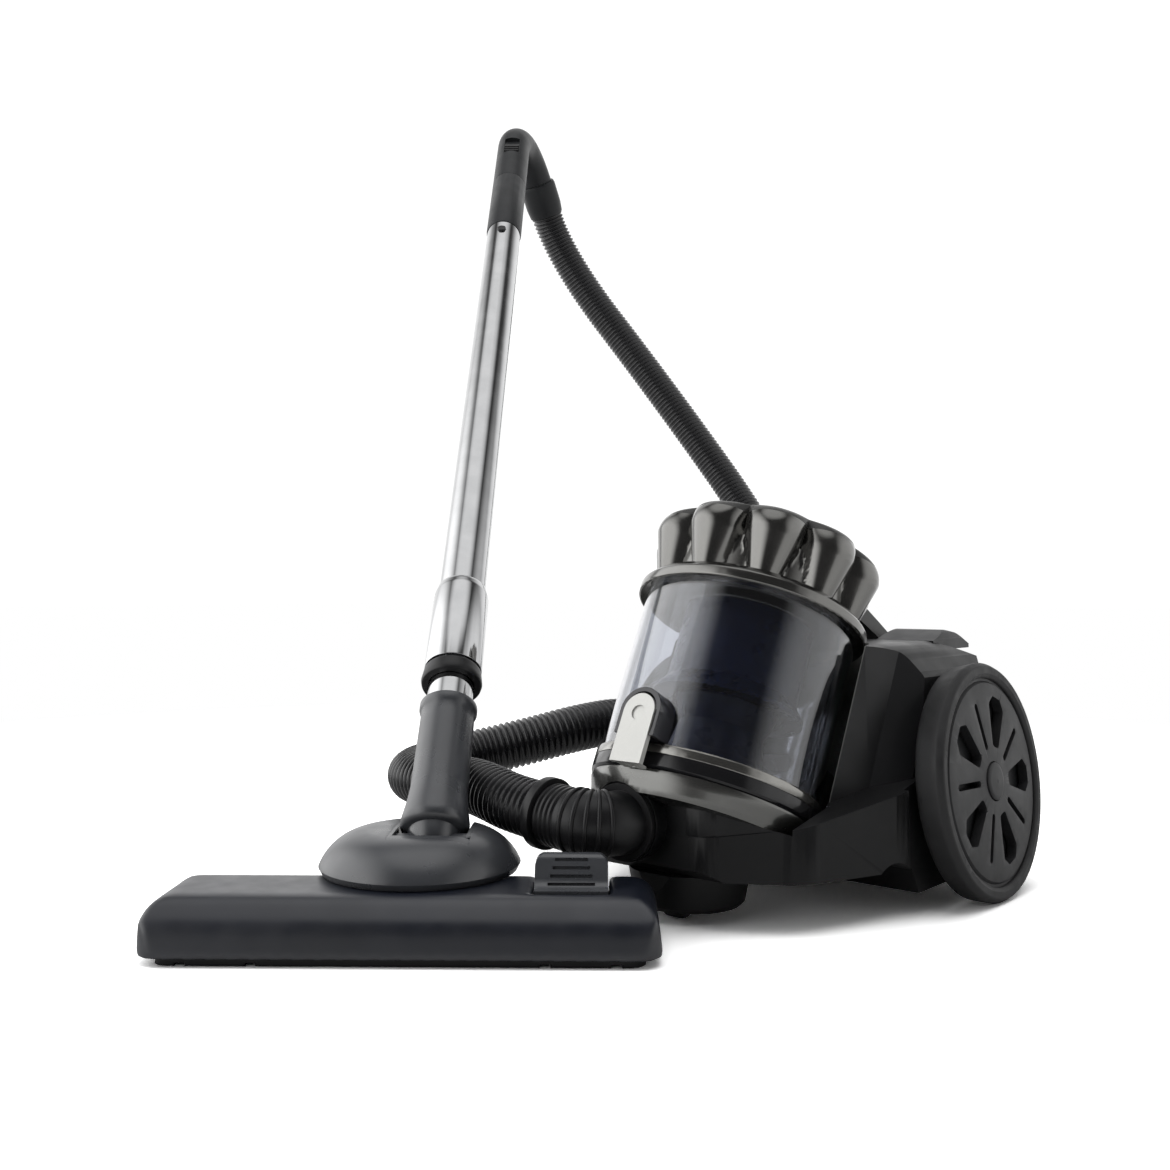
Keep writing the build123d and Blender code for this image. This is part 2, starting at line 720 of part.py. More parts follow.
left_tyre = tyre(1)
right_tyre = tyre(-1)
left_wheel_disc = wheel_disc(1)
right_wheel_disc = wheel_disc(-1)
left_hub_cap = hub_cap(1)
right_hub_cap = hub_cap(-1)

# Steel stub axles, each with a shoulder against the body and a head that keeps the wheel on
with BuildPart() as wheel_axles:
    for side in (1, -1):
        plane = wheel_plane(side)
        rod(plane, AXLE_R, -TYRE_W - WELL_GAP - 20.0, -6.0)
        rod(plane, 7.5, -8.7, -5.5)
        rod(plane, 9.0, -TYRE_W - WELL_GAP, -TYRE_W - RUN_GAP)

# Front caster

CASTER = Plane(origin=at(0, CASTER_Y, 0))
CASTER_AXLE = Plane(origin=at(0, CASTER_Y - CASTER_TRAIL, CASTER_R), x_dir=(0, 1, 0), z_dir=(1, 0, 0))
FORK_HALF = CASTER_W / 2 + 0.6

# The pod is a skirt ring under the pan, round the caster
with BuildPart() as caster_pod:
    turned(
        CASTER,
        (CASTER_WELL_R, POD_Z),
        (CASTER_WELL_R + POD_WALL - 3.0, POD_Z),
        (CASTER_WELL_R + POD_WALL, POD_Z + 3.0),
        (CASTER_WELL_R + POD_WALL + 4.0, PAN_FRONT_Z),
        (CASTER_WELL_R, PAN_FRONT_Z),
    )
    extrude(skirt_plan(), amount=BODY_TOP, mode=Mode.INTERSECT)

with BuildPart() as caster_fork:
    rod(CASTER, CASTER_STEM_R, PAN_FRONT_Z - 2.0, PAN_FRONT_Z + 13.5)
    rod(CASTER, 20.0, PAN_FRONT_Z - 3.0, PAN_FRONT_Z + 1.0 - RUN_GAP)
    for side in (1, -1):
        face = outline(
            SIDE.offset(side * FORK_HALF),
            (CASTER_Y - CASTER_TRAIL - 6.0, CASTER_R - 5.0),
            (CASTER_Y - CASTER_TRAIL + 6.0, CASTER_R - 5.0),
            (CASTER_Y + 14.0, PAN_FRONT_Z - 2.0),
            (CASTER_Y - 16.0, PAN_FRONT_Z - 2.0),
            rounds=[((CASTER_Y - CASTER_TRAIL + d, CASTER_R - 5.0), 4.0) for d in (-6.0, 6.0)],
        )
        extrude(face, amount=side * 3.0)
    rod(CASTER_AXLE, 2.5, -FORK_HALF - 3.0, FORK_HALF + 3.0)

with BuildPart() as caster_wheel:
    half = CASTER_W / 2
    turned(
        CASTER_AXLE,
        (2.5 + RUN_GAP, -half),
        (CASTER_R - 1.5, -half),
        (CASTER_R, -half + 1.5),
        (CASTER_R, half - 1.5),
        (CASTER_R - 1.5, half),
        (2.5 + RUN_GAP, half),
    )

# Dust bin

with BuildPart() as bin_cup:
    pipe(BIN, CUP_R, CUP_R - CUP_WALL, -CUP_H, 0)

with BuildPart() as bin_rim:
    turned(
        BIN,
        (CUP_R - CUP_WALL, -CUP_H - RIM_H),
        (RIM_R, -CUP_H - RIM_H),
        (RIM_R, -CUP_H - 1.0),
        (RIM_R - 1.0, -CUP_H),
        (CUP_R - CUP_WALL, -CUP_H),
    )

with BuildPart() as door_seal:
    pipe(BIN, CUP_R - 3.0, CUP_R - 8.0, -CUP_H - RIM_H, -CUP_H - RIM_H + 3.0)

with BuildPart() as bin_door:
    turned(
        BIN,
        (0, BIN_FLOOR + DOOR_H - 3.0),
        (RIM_R - 8.0, BIN_FLOOR + DOOR_H - 3.0),
        (RIM_R - 8.0, BIN_FLOOR),
        (RIM_R - 2.0, BIN_FLOOR),
        (RIM_R, BIN_FLOOR + 2.0),
        (RIM_R, -CUP_H - RIM_H),
        (0, -CUP_H - RIM_H),
    )

with BuildPart() as cyclone_shroud:
    turned(
        BIN,
        (CORE_TUBE_R, 0),
        (SHROUD_R, 0),
        (SHROUD_R, -SHROUD_H),
        (SHROUD_R + 7.0, -SHROUD_H - 9.0),
        (SHROUD_R + 7.0, -SHROUD_H - 12.0),
        (SHROUD_R - 6.0, -SHROUD_H - 12.0),
        (SHROUD_R - 6.0, -SHROUD_H - 3.0),
        (CORE_TUBE_R, -SHROUD_H + 4.0),
    )

with BuildPart() as fines_cup:
    turned(
        BIN,
        (0, -CUP_H - RIM_H),
        (32.0, -CUP_H - RIM_H),
        (CORE_TUBE_R, -CUP_H - 1.0),
        (30.0, -SHROUD_H - 28.0),
        (CORE_TUBE_R - RUN_GAP, -SHROUD_H - 12.0),
        (CORE_TUBE_R - RUN_GAP, -4.0),
        (33.0, -4.0),
        (33.0, -SHROUD_H - 12.0),
        (27.0, -SHROUD_H - 28.0),
        (30.0, -CUP_H),
        (0, -CUP_H),
    )

with BuildPart() as lid_ring:
    turned(
        BIN,
        (CORE_TUBE_R, 0),
        (LID_RING_R - 1.0, 0),
        (LID_RING_R, 1.0),
        (LID_RING_R, 7.0),
        (LID_RING_R - 5.0, LID_RING_H),
        (CORE_TUBE_R, LID_RING_H),
    )
    pipe(BIN, CUP_R - CUP_WALL - 2.0, SHROUD_R + 2.0, 0, LID_RING_H - 4.0, Mode.SUBTRACT)

LID_BASE = BIN.offset(LID_RING_H)
CORE_R = LOBE_PITCH_R - 13.0

with BuildPart(LID_BASE) as cyclone_lid:
    with PolarLocations(LOBE_PITCH_R, LOBES, start_angle=180.0 / LOBES):
        Cone(LOBE_FOOT_R, LOBE_TOP_R, LOBE_H, align=(Align.CENTER, Align.CENTER, Align.MIN))
    turned(
        LID_BASE,
        (0, LOBE_H - 4.0),
        (CORE_R, LOBE_H - 4.0),
        (CORE_R, 0),
        (LOBE_PITCH_R + 3.0, 0),
        (LOBE_PITCH_R + 1.0, LOBE_H),
        (0, LOBE_H),
    )
    with PolarLocations(LOBE_PITCH_R, LOBES, start_angle=180.0 / LOBES):
        Cone(
            LOBE_FOOT_R - LOBE_WALL,
            LOBE_TOP_R - LOBE_WALL,
            LOBE_H,
            align=(Align.CENTER, Align.CENTER, Align.MIN),
            mode=Mode.SUBTRACT,
        )

with BuildPart() as exhaust_foam:
    rod(LID_BASE, LOBE_PITCH_R - LOBE_TOP_R + 3.0, 0, LOBE_H - 14.0)

LID_TOP = BIN.offset(LID_RING_H + LOBE_H)

with BuildPart() as lid_cap:
    with BuildSketch(LID_TOP):
        Circle(LOBE_PITCH_R + 4.0)
        with PolarLocations(LOBE_PITCH_R, LOBES, start_angle=180.0 / LOBES):
            Circle(LOBE_TOP_R)
    extrude(amount=CAP_H)
    turned(
        LID_TOP,
        (0, 0),
        (CAP_EDGE_R, 0),
        (CAP_TOP_R + 8.0, CAP_H - 2.0),
        (CAP_TOP_R, CAP_H),
        (0, CAP_H),
        mode=Mode.INTERSECT,
    )
    # Split in the cap's front edge
    block(LID_TOP, (-2.0, 2.0), (-CAP_EDGE_R, -CAP_TOP_R + 4.0), (0, CAP_H), Mode.SUBTRACT)
    rod(LID_TOP, LOBE_PITCH_R - LOBE_WALL - 4.0, 0, CAP_H - 4.0, Mode.SUBTRACT)

with BuildPart() as carry_handle:
    grip_top = LID_RING_H + LOBE_H + HANDLE_T
    face = outline(
        BIN_SIDE,
        (50.0, grip_top + 4.0),
        (HANDLE_END - 30.0, grip_top),
        (HANDLE_END, grip_top - 2.0),
        (HANDLE_END, handle_floor),
        (72.0, handle_floor),
        (50.0, handle_floor + 2.0),
        rounds=[((HANDLE_END, grip_top - 2.0), 6.0), ((HANDLE_END - 30.0, grip_top), 40.0)],
    )
    extrude(face, amount=HANDLE_HALF, both=True)
    turned(
        LID_TOP,
        (0, -1.0),
        (CAP_EDGE_R, 0),
        (CAP_TOP_R + 8.0, CAP_H - 2.0),
        (CAP_TOP_R, CAP_H),
        (0, CAP_H),
        mode=Mode.SUBTRACT,
    )
    block(BIN, (-10.0, 10.0), (118.0, 142.0), (grip_top - 5.0, grip_top + 20.0), Mode.SUBTRACT)

with BuildPart() as release_button:
    block(BIN, (-9.5, 9.5), (118.5, 141.5), (grip_top - 2.2, grip_top + 2.5))
    fillet(release_button.edges().filter_by(Axis(BIN.origin, BIN.z_dir)), 2.0)

# Door latch on the bin's front

LATCH_FACE = Plane(origin=BIN.origin, x_dir=(1, 0, 0), z_dir=-BIN.y_dir)
PIN_Y = -LATCH_OUT + LATCH_T + 3.5
LATCH_PIN = Plane(origin=BIN.from_local_coords((0, PIN_Y, LATCH_PIN_H)), z_dir=(1, 0, 0))
CHEEK_IN = LATCH_W / 2 + SLIDE_GAP
CHEEK_OUT = CHEEK_IN + CHEEK_T

with BuildPart() as latch_bracket:
    arch = LATCH_TOP + SWING_GAP
    with BuildSketch(LATCH_FACE.offset(CUP_R - 4.0)):
        with Locations((0, (arch - CUP_H) / 2)):
            Rectangle(2 * CHEEK_OUT, arch + CUP_H)
        with Locations((0, arch)):
            Circle(CHEEK_OUT)
    extrude(amount=LATCH_OUT - CUP_R + 3.0)
    with BuildSketch(LATCH_FACE.offset(CUP_R + 3.0)):
        with Locations((0, (arch - CUP_H) / 2 - 2.0)):
            Rectangle(2 * CHEEK_IN, arch + CUP_H + 6.0)
        with Locations((0, arch)):
            Circle(CHEEK_IN)
    extrude(amount=LATCH_OUT, mode=Mode.SUBTRACT)
    rod(BIN, CUP_R, -CUP_H - 10.0, 0, Mode.SUBTRACT)
    rod(LATCH_PIN, LATCH_PIN_R, -CHEEK_OUT, CHEEK_OUT)

with BuildPart() as latch_lever:
    with BuildSketch(LATCH_FACE.offset(LATCH_OUT - LATCH_T)):
        with Locations((0, (LATCH_TOP + BIN_FLOOR) / 2 - 1.0)):
            Rectangle(LATCH_W, LATCH_TOP - BIN_FLOOR + 2.0)
        with Locations((0, LATCH_TOP)):
            Circle(LATCH_W / 2)
    extrude(amount=LATCH_T)
    for side in (1, -1):
        rod(LATCH_PIN, 4.5, side * 6.0, side * 10.0)
        claw = grown((side * 5.5, side * 5.5), 3.0)
        hook = (BIN_FLOOR - 2.0, BIN_FLOOR - RUN_GAP)
        block(LATCH_FACE, claw, hook, (RIM_R + 0.6, LATCH_OUT - LATCH_T))
    # Thumb hollow
    with BuildSketch(LATCH_FACE.offset(LATCH_OUT - 1.2)):
        with Locations((0, LATCH_TOP - 1.0)):
            Circle(5.0)
    extrude(amount=3.0, mode=Mode.SUBTRACT)
    rod(LATCH_PIN, LATCH_PIN_R + 0.2, -CHEEK_OUT, CHEEK_OUT, Mode.SUBTRACT)

# Hose connectors

ELBOW_SIDE = Vector(-cos(radians(ELBOW_ROLL)), 0, sin(radians(ELBOW_ROLL)))
ELBOW_START = at(INLET_X, BOSS_Y - 4.0, INLET_Z)
ELBOW_PLANE = Plane(origin=ELBOW_START, x_dir=ELBOW_SIDE, z_dir=ELBOW_SIDE.cross(Vector(0, -1, 0)))
ELBOW_REACH = ELBOW_BEND_R * (1 - cos(radians(ELBOW_TURN)))
ELBOW_DROP = ELBOW_BEND_R * sin(radians(ELBOW_TURN))
ELBOW_END = ELBOW_START + ELBOW_SIDE * ELBOW_REACH + Vector(0, -1, 0) * ELBOW_DROP
ELBOW_DIR = ELBOW_SIDE * sin(radians(ELBOW_TURN)) + Vector(0, -1, 0) * cos(radians(ELBOW_TURN))
CUFF = Plane(origin=ELBOW_END, z_dir=ELBOW_DIR)

with BuildPart() as hose_connector:
    with BuildLine(ELBOW_PLANE) as elbow_path:
        RadiusArc(
            (0, 0),
            (ELBOW_REACH, ELBOW_DROP),
            ELBOW_BEND_R,
        )
    with BuildSketch(Plane(origin=ELBOW_START, z_dir=(0, -1, 0))):
        Circle(ELBOW_R)
        Circle(DUCT_R, mode=Mode.SUBTRACT)
    sweep()
    pipe(INLET, ELBOW_R, DUCT_R, -FRONT_Y + SEAT_GAP, -BOSS_Y + 4.0)
    pipe(INLET, ELBOW_R + 4.5, DUCT_R, -BOSS_Y + RUN_GAP, -BOSS_Y + 4.0)
    groove_r = ELBOW_R - 1.2
    profile = [(DUCT_R, 0), (ELBOW_R, 0)]
    for turn in range(4):
        base = 1.5 + turn * 4.0
        profile += [(groove_r, base), (ELBOW_R, base + 1.2), (ELBOW_R, base + 2.8), (groove_r, base + 3.9)]
    profile += [(CUFF_R, CUFF_L - 6.0), (CUFF_R, CUFF_L), (DUCT_R, CUFF_L)]
    turned(CUFF, *profile)

# Wand: neck, telescopic tubes, sleeve and collar

with BuildPart() as neck:
    turned(
        WAND,
        (0, 30.0),
        (NECK_FLARE_R, 30.0),
        (NECK_FLARE_R, 34.0),
        (NECK_R + 0.5, 58.0),
        (NECK_R, NECK_TOP - 8.0),
        (NECK_R + 1.5, NECK_TOP - 4.0),
        (NECK_R + 1.5, NECK_TOP),
        (0, NECK_TOP),
    )
    tilt_axis = Plane(origin=HEAD.from_local_coords((0, TILT_Y, TILT_Z)), z_dir=HEAD.x_dir)
    rod(tilt_axis, BARREL_R, -BARREL_HALF, BARREL_HALF)
    rod(WAND, BARREL_R, 14.0, 32.0)
    rod(WAND, INNER_TUBE_R, TUBE_SEAT_S, NECK_TOP, Mode.SUBTRACT)
    rod(WAND, INNER_TUBE_R - 3.0, 40.0, TUBE_SEAT_S + 1.0, Mode.SUBTRACT)
    rod(tilt_axis, TILT_PIN_R + RUN_GAP, -BARREL_HALF, BARREL_HALF, Mode.SUBTRACT)

with BuildPart() as inner_tube:
    pipe(WAND, INNER_TUBE_R, INNER_TUBE_R - TUBE_WALL, TUBE_SEAT_S, TUBE_SEAT_S + INNER_TUBE_L)

with BuildPart() as tube_collar:
    turned(
        WAND,
        (INNER_TUBE_R + RUN_GAP, COLLAR_S),
        (SLEEVE_R + 0.5, COLLAR_S),
        (SLEEVE_R + 1.2, COLLAR_S + 3.0),
        (SLEEVE_R, COLLAR_S + COLLAR_L),
        (INNER_TUBE_R + RUN_GAP, COLLAR_S + COLLAR_L),
    )

with BuildPart() as outer_tube:
    pipe(WAND, OUTER_TUBE_R, OUTER_TUBE_R - TUBE_WALL, COLLAR_S + COLLAR_L, TUBE_END)
    button_plane = Plane(origin=WAND.from_local_coords((0, 0, TUBE_END - 16.0)), z_dir=-WAND.y_dir)
    rod(button_plane, SNAP_R + RUN_GAP, OUTER_TUBE_R - 4.0, OUTER_TUBE_R + 2.0, Mode.SUBTRACT)

with BuildPart() as lock_sleeve:
    turned(
        WAND,
        (OUTER_TUBE_R + RUN_GAP, SLEEVE_S),
        (SLEEVE_R, SLEEVE_S),
        (SLEEVE_R, SLEEVE_S + SLEEVE_L - 8.0),
        (OUTER_TUBE_R + 1.2, SLEEVE_S + SLEEVE_L),
        (OUTER_TUBE_R + RUN_GAP, SLEEVE_S + SLEEVE_L),
    )

# Handle: connector, curved grip, air slider and snap button

SPIGOT_R = OUTER_TUBE_R - TUBE_WALL - 0.1
SPIGOT_L = 34.0
GRIP_START = TUBE_END + CONNECTOR_L
BEND_START = GRIP_START + GRIP_L

with BuildPart() as handle_connector:
    turned(
        WAND,
        (0, TUBE_END - SPIGOT_L),
        (SPIGOT_R, TUBE_END - SPIGOT_L),
        (SPIGOT_R, TUBE_END),
        (GRIP_R - 0.5, TUBE_END),
        (GRIP_R, TUBE_END + 6.0),
        (GRIP_R, GRIP_START),
        (0, GRIP_START),
    )
    rod(WAND, GRIP_BORE_R, TUBE_END - SPIGOT_L, GRIP_START, Mode.SUBTRACT)
    rod(button_plane, SNAP_R + RUN_GAP, 10.0, OUTER_TUBE_R, Mode.SUBTRACT)

with BuildPart() as snap_button:
    rod(button_plane, SNAP_R, 14.5, OUTER_TUBE_R + 1.8)

GRIP_SIDE = WAND.y_dir * cos(radians(GRIP_ROLL)) + WAND.x_dir * sin(radians(GRIP_ROLL))
GRIP_PLANE = Plane(
    origin=WAND.from_local_coords((0, 0, GRIP_START)),
    x_dir=GRIP_SIDE,
    z_dir=GRIP_SIDE.cross(WAND.z_dir),
)
GRIP_TURN_RAD = radians(GRIP_TURN)
GRIP_END = GRIP_PLANE.from_local_coords(
    (GRIP_BEND_R * (1 - cos(GRIP_TURN_RAD)), GRIP_L + GRIP_BEND_R * sin(GRIP_TURN_RAD))
)
GRIP_END_DIR = GRIP_SIDE * sin(GRIP_TURN_RAD) + WAND.z_dir * cos(GRIP_TURN_RAD)
GRIP_MOUTH = Plane(origin=GRIP_END, z_dir=GRIP_END_DIR)
SLIDER_S = GRIP_START + 70.0
SLIDER_BED = GRIP_R - 4.5
SLIDER = Plane(origin=WAND.from_local_coords((0, 0, SLIDER_S)), x_dir=WAND.x_dir, z_dir=-WAND.y_dir)

with BuildPart() as handle_grip:
    with BuildLine(GRIP_PLANE):
        Line((0, 0), (0, GRIP_L))
        RadiusArc(
            (0, GRIP_L),
            (GRIP_BEND_R * (1 - cos(GRIP_TURN_RAD)), GRIP_L + GRIP_BEND_R * sin(GRIP_TURN_RAD)),
            GRIP_BEND_R,
        )
    with BuildSketch(WAND.offset(GRIP_START)):
        Circle(GRIP_R)
        Circle(GRIP_BORE_R, mode=Mode.SUBTRACT)
    sweep()
    block(SLIDER, (-8.5, 8.5), (-16.5, 16.5), (SLIDER_BED, GRIP_R + 4.0), Mode.SUBTRACT)

with BuildPart() as air_slider:
    block(SLIDER, (-8.0, 8.0), (-16.0, 4.0), (SLIDER_BED + RUN_GAP, SLIDER_BED + 2.5))
    for row in range(3):
        rib = (-14.0 + 5.0 * row, -12.0 + 5.0 * row)
        block(SLIDER, (-8.0, 8.0), rib, (SLIDER_BED + 2.5, SLIDER_BED + 3.8))

with BuildPart() as swivel_cuff:
    turned(
        GRIP_MOUTH,
        (GRIP_BORE_R, RUN_GAP),
        (GRIP_R + 2.5, RUN_GAP),
        (GRIP_R + 3.5, 4.0),
        (GRIP_R + 3.5, 28.0),
        (HOSE_R + 1.0, SWIVEL_L),
        (GRIP_BORE_R, SWIVEL_L),
    )

# Hose along its route, from the inlet cuff to the handle

HOSE_START = CUFF.from_local_coords((0, 0, CUFF_L))
HOSE_END = GRIP_MOUTH.from_local_coords((0, 0, SWIVEL_L))
HOSE_MIDDLE = [
    (-114.0, -238.0, 77.0),
    (-142.0, -231.0, 79.0),
    (-180.0, -229.0, 77.0),
    (-221.0, -219.0, 75.0),
    (-248.0, -186.0, 75.0),
    (-244.0, -142.0, 80.0),
    (-216.0, -100.0, 90.0),
    (-191.0, -56.0, 101.0),
    (-181.0, -6.0, 104.0),
    (-181.0, 56.0, 84.0),
    (-187.0, 120.0, 47.0),
    (-193.0, 190.0, 25.0),
    (-200.0, 268.0, 31.0),
    (-216.0, 346.0, 66.0),
    (-247.0, 412.0, 130.0),
    (-298.0, 446.0, 217.0),
    (-360.0, 447.0, 312.0),
    (-430.0, 428.0, 412.0),
    (-499.0, 399.0, 514.0),
    (-552.0, 367.0, 596.0),
]
HOSE_LEAD = 28.0
HOSE_EXIT = CUFF.from_local_coords((0, 0, CUFF_L + HOSE_LEAD))
HOSE_RETURN = GRIP_MOUTH.from_local_coords((0, 0, SWIVEL_L + HOSE_LEAD))
hose_points = [HOSE_START, HOSE_EXIT] + [at(*point) for point in HOSE_MIDDLE] + [HOSE_RETURN, HOSE_END]


def bend_radii(points):
    """The largest radius that each corner's two runs allow."""
    radii = []
    for before, corner, after in zip(points, points[1:], points[2:]):
        turn = (corner - before).get_angle(after - corner)
        shorter = min((corner - before).length, (after - corner).length)
        radii.append(0.45 * shorter / tan(radians(turn) / 2))
    return radii


hose_radii = bend_radii(hose_points)
print("hose bend radii", [round(radius) for radius in hose_radii])

with BuildPart() as hose:
    with BuildLine() as hose_line:
        FilletPolyline(*hose_points, radius=hose_radii)
    with BuildSketch(Plane(origin=hose_points[0], z_dir=hose_points[1] - hose_points[0])):
        Circle(HOSE_R)
        Circle(HOSE_R - HOSE_WALL, mode=Mode.SUBTRACT)
    sweep()
hose_length = hose_line.wire().length
hose_section = pi * (HOSE_R**2 - (HOSE_R - HOSE_WALL) ** 2)
print("hose length", round(hose_length), "volume share", hose.part.volume / (hose_length * hose_section))
print("hose ends", HOSE_START - at(0, 0, 0), HOSE_END - at(0, 0, 0))

# Floor head

HEAD_LEFT = HEAD_X - HEAD_W / 2
HEAD_RIGHT = HEAD_X + HEAD_W / 2
PEDAL_LEFT = 67.0
PEDAL_RIGHT = 111.0
PEDAL_FRONT = -40.0
TAB_FRONT = -32.0
TAB_REAR = -16.0
TAB_TOP = 57.0
TREAD_TOP = 6.0
TURRET = Plane(origin=HEAD.from_local_coords((TURRET_X, TURRET_Y, 0)), x_dir=HEAD.x_dir, z_dir=(0, 0, 1))
SPIGOT_TURRET_R = 24.0
BASE_DISC_R = 36.0
BRUSH_ROWS = (-54.0, -10.0)
ROLLER_XS = (-30.0, 12.0)
ROLLER_Y = 41.0
ROLLER_R = 9.0
ROLLER_W = 16.0
ROLLER_PIN_R = 1.5
ROCK_PIN_R = 2.0
LUG_T = 3.0
BRUSH_HALF = 118.0
BRUSH_T = 4.0
ROCK_AXIS = Plane(origin=HEAD.from_local_coords((0, -14.0, 32.0)), z_dir=HEAD.x_dir)

with BuildPart() as head_cover:
    face = outline(
        HEAD_SIDE,
        (HEAD_FRONT, HEAD_LIFT),
        (HEAD_REAR, HEAD_LIFT),
        (HEAD_REAR, HEAD_H - 8.0),
        (HEAD_REAR - 8.0, HEAD_H),
        (HEAD_FRONT + 17.0, HEAD_H),
        (HEAD_FRONT + 3.0, HEAD_H - 14.0),
        rounds=[
            ((HEAD_FRONT + 17.0, HEAD_H), 14.0),
            ((HEAD_FRONT + 3.0, HEAD_H - 14.0), 14.0),
        ],
    )
    extrude(face, amount=HEAD_W, both=True)
    face = outline(
        HEAD_FRONT_VIEW,
        (HEAD_LEFT, HEAD_LIFT),
        (HEAD_RIGHT, HEAD_LIFT),
        (HEAD_RIGHT - 4.0, HEAD_H),
        (HEAD_LEFT + 4.0, HEAD_H),
        rounds=[((HEAD_RIGHT - 4.0, HEAD_H), 16.0), ((HEAD_LEFT + 4.0, HEAD_H), 16.0)],
    )
    extrude(face, amount=HEAD_W, both=True, mode=Mode.INTERSECT)
    with BuildSketch(HEAD):
        with Locations((HEAD_X, (HEAD_FRONT + HEAD_REAR) / 2)):
            RectangleRounded(HEAD_W, HEAD_REAR - HEAD_FRONT, 14.0)
    extrude(amount=HEAD_H, mode=Mode.INTERSECT)
    rod(TURRET, BASE_DISC_R, 22.0, HEAD_H)
    block(
        HEAD,
        (HEAD_LEFT + 12.0, HEAD_RIGHT - 12.0),
        (HEAD_FRONT + 8.0, HEAD_REAR - HEAD_WALL),
        (0, 21.0),
        Mode.SUBTRACT,
    )
    rod(TURRET, SPIGOT_TURRET_R + RUN_GAP, 20.0, HEAD_H, Mode.SUBTRACT)
    pocket = grown((PEDAL_LEFT, PEDAL_RIGHT), SLIDE_GAP)
    block(HEAD, pocket, (PEDAL_FRONT - 1.0, HEAD_REAR + 1.0), (23.0, HEAD_H + 1.0), Mode.SUBTRACT)
    rod(ROCK_AXIS, ROCK_PIN_R, PEDAL_LEFT - 6.0, PEDAL_RIGHT + 6.0, Mode.SUBTRACT)
    # Lugs for the two rear rollers
    for x in ROLLER_XS:
        for side in (1, -1):
            lug = x + side * (ROLLER_W / 2 + SLIDE_GAP + LUG_T / 2)
            block(HEAD, grown((lug, lug), LUG_T / 2), grown((ROLLER_Y, ROLLER_Y), 5.0), (5.0, 23.0))
    roller_axis = Plane(origin=HEAD.from_local_coords((0, ROLLER_Y, ROLLER_R + 0.2)), z_dir=HEAD.x_dir)
    rod(roller_axis, ROLLER_PIN_R, -60.0, 60.0, Mode.SUBTRACT)

with BuildPart() as head_sole:
    with BuildSketch(HEAD):
        with Locations((HEAD_X, (HEAD_FRONT + HEAD_REAR) / 2)):
            RectangleRounded(HEAD_W - 20.0, HEAD_REAR - HEAD_FRONT - 12.0, 10.0)
    extrude(amount=HEAD_LIFT)
    block(
        HEAD,
        (HEAD_LEFT + 12.3, HEAD_RIGHT - 12.3),
        (HEAD_FRONT + 8.3, HEAD_REAR - HEAD_WALL - 0.3),
        (HEAD_LIFT, 8.0),
    )
    block(HEAD, (HEAD_X - 112.0, HEAD_X + 112.0), (-40.0, -22.0), (-1.0, 9.0), Mode.SUBTRACT)
    for y in BRUSH_ROWS:
        slot = grown((HEAD_X, HEAD_X), BRUSH_HALF + 0.8)
        block(HEAD, slot, grown((y, y), BRUSH_T / 2 + 0.8), (-1.0, 9.0), Mode.SUBTRACT)
    for side in (1, -1):
        for distance in (85.0, 126.0):
            x = HEAD_X + side * distance
            block(HEAD, (x - 3.0, x + 3.0), (HEAD_FRONT, -40.0), (-1.0, 2.0), Mode.SUBTRACT)

with BuildPart() as brush_bar:
    for y in BRUSH_ROWS:
        block(HEAD, (HEAD_X - BRUSH_HALF, HEAD_X + BRUSH_HALF), (y - 2.0, y + 2.0), (1.5, 14.0))
    for side in (1, -1):
        x = HEAD_X + side * (BRUSH_HALF - 3.0)
        block(HEAD, (x - 3.0, x + 3.0), (BRUSH_ROWS[0], BRUSH_ROWS[1]), (14.0, 17.0))
        for y in BRUSH_ROWS:
            block(HEAD, (x - 3.0, x + 3.0), (y - 2.0, y + 2.0), (13.0, 17.0))

with BuildPart() as head_pedal:
    face = outline(
        HEAD_SIDE.offset(PEDAL_LEFT),
        (PEDAL_FRONT, 30.0),
        (PEDAL_FRONT, HEAD_H + 0.5),
        (TAB_FRONT, HEAD_H + 1.5),
        (TAB_REAR - 7.0, TAB_TOP),
        (TAB_REAR, TAB_TOP),
        (TAB_REAR + 2.0, 42.0),
        (4.0, 36.0),
        (-2.0, 30.0),
        rounds=[
            ((TAB_FRONT, HEAD_H + 1.5), 8.0),
            ((TAB_REAR - 7.0, TAB_TOP), 5.0),
            ((TAB_REAR, TAB_TOP), 2.5),
        ],
    )
    extrude(face, amount=PEDAL_RIGHT - PEDAL_LEFT)
    face = outline(
        HEAD_FRONT_VIEW,
        (PEDAL_LEFT, 0),
        (PEDAL_RIGHT, 0),
        (PEDAL_RIGHT, TAB_TOP),
        (PEDAL_LEFT, TAB_TOP),
        rounds=[((x, TAB_TOP), 7.0) for x in (PEDAL_LEFT, PEDAL_RIGHT)],
    )
    extrude(face, amount=HEAD_W, both=True, mode=Mode.INTERSECT)
    rise = atan2(TAB_TOP - HEAD_H, TAB_REAR - 7.0 - TAB_FRONT)
    tread = Plane(
        origin=HEAD.from_local_coords(
            ((PEDAL_LEFT + PEDAL_RIGHT) / 2, (TAB_FRONT + TAB_REAR - 7.0) / 2, (HEAD_H + TAB_TOP) / 2)
        ),
        x_dir=HEAD.x_dir,
        z_dir=HEAD.z_dir * cos(rise) - HEAD.y_dir * sin(rise),
    )
    for row in range(4):
        groove = (TREAD_TOP - 5.0 * row, TREAD_TOP + 2.0 - 5.0 * row)
        block(tread, (-10.0 - 1.4 * row, 10.0 + 1.4 * row), groove, (-1.6, 6.0), Mode.SUBTRACT)
    rod(ROCK_AXIS, ROCK_PIN_R + RUN_GAP, PEDAL_LEFT, PEDAL_RIGHT, Mode.SUBTRACT)

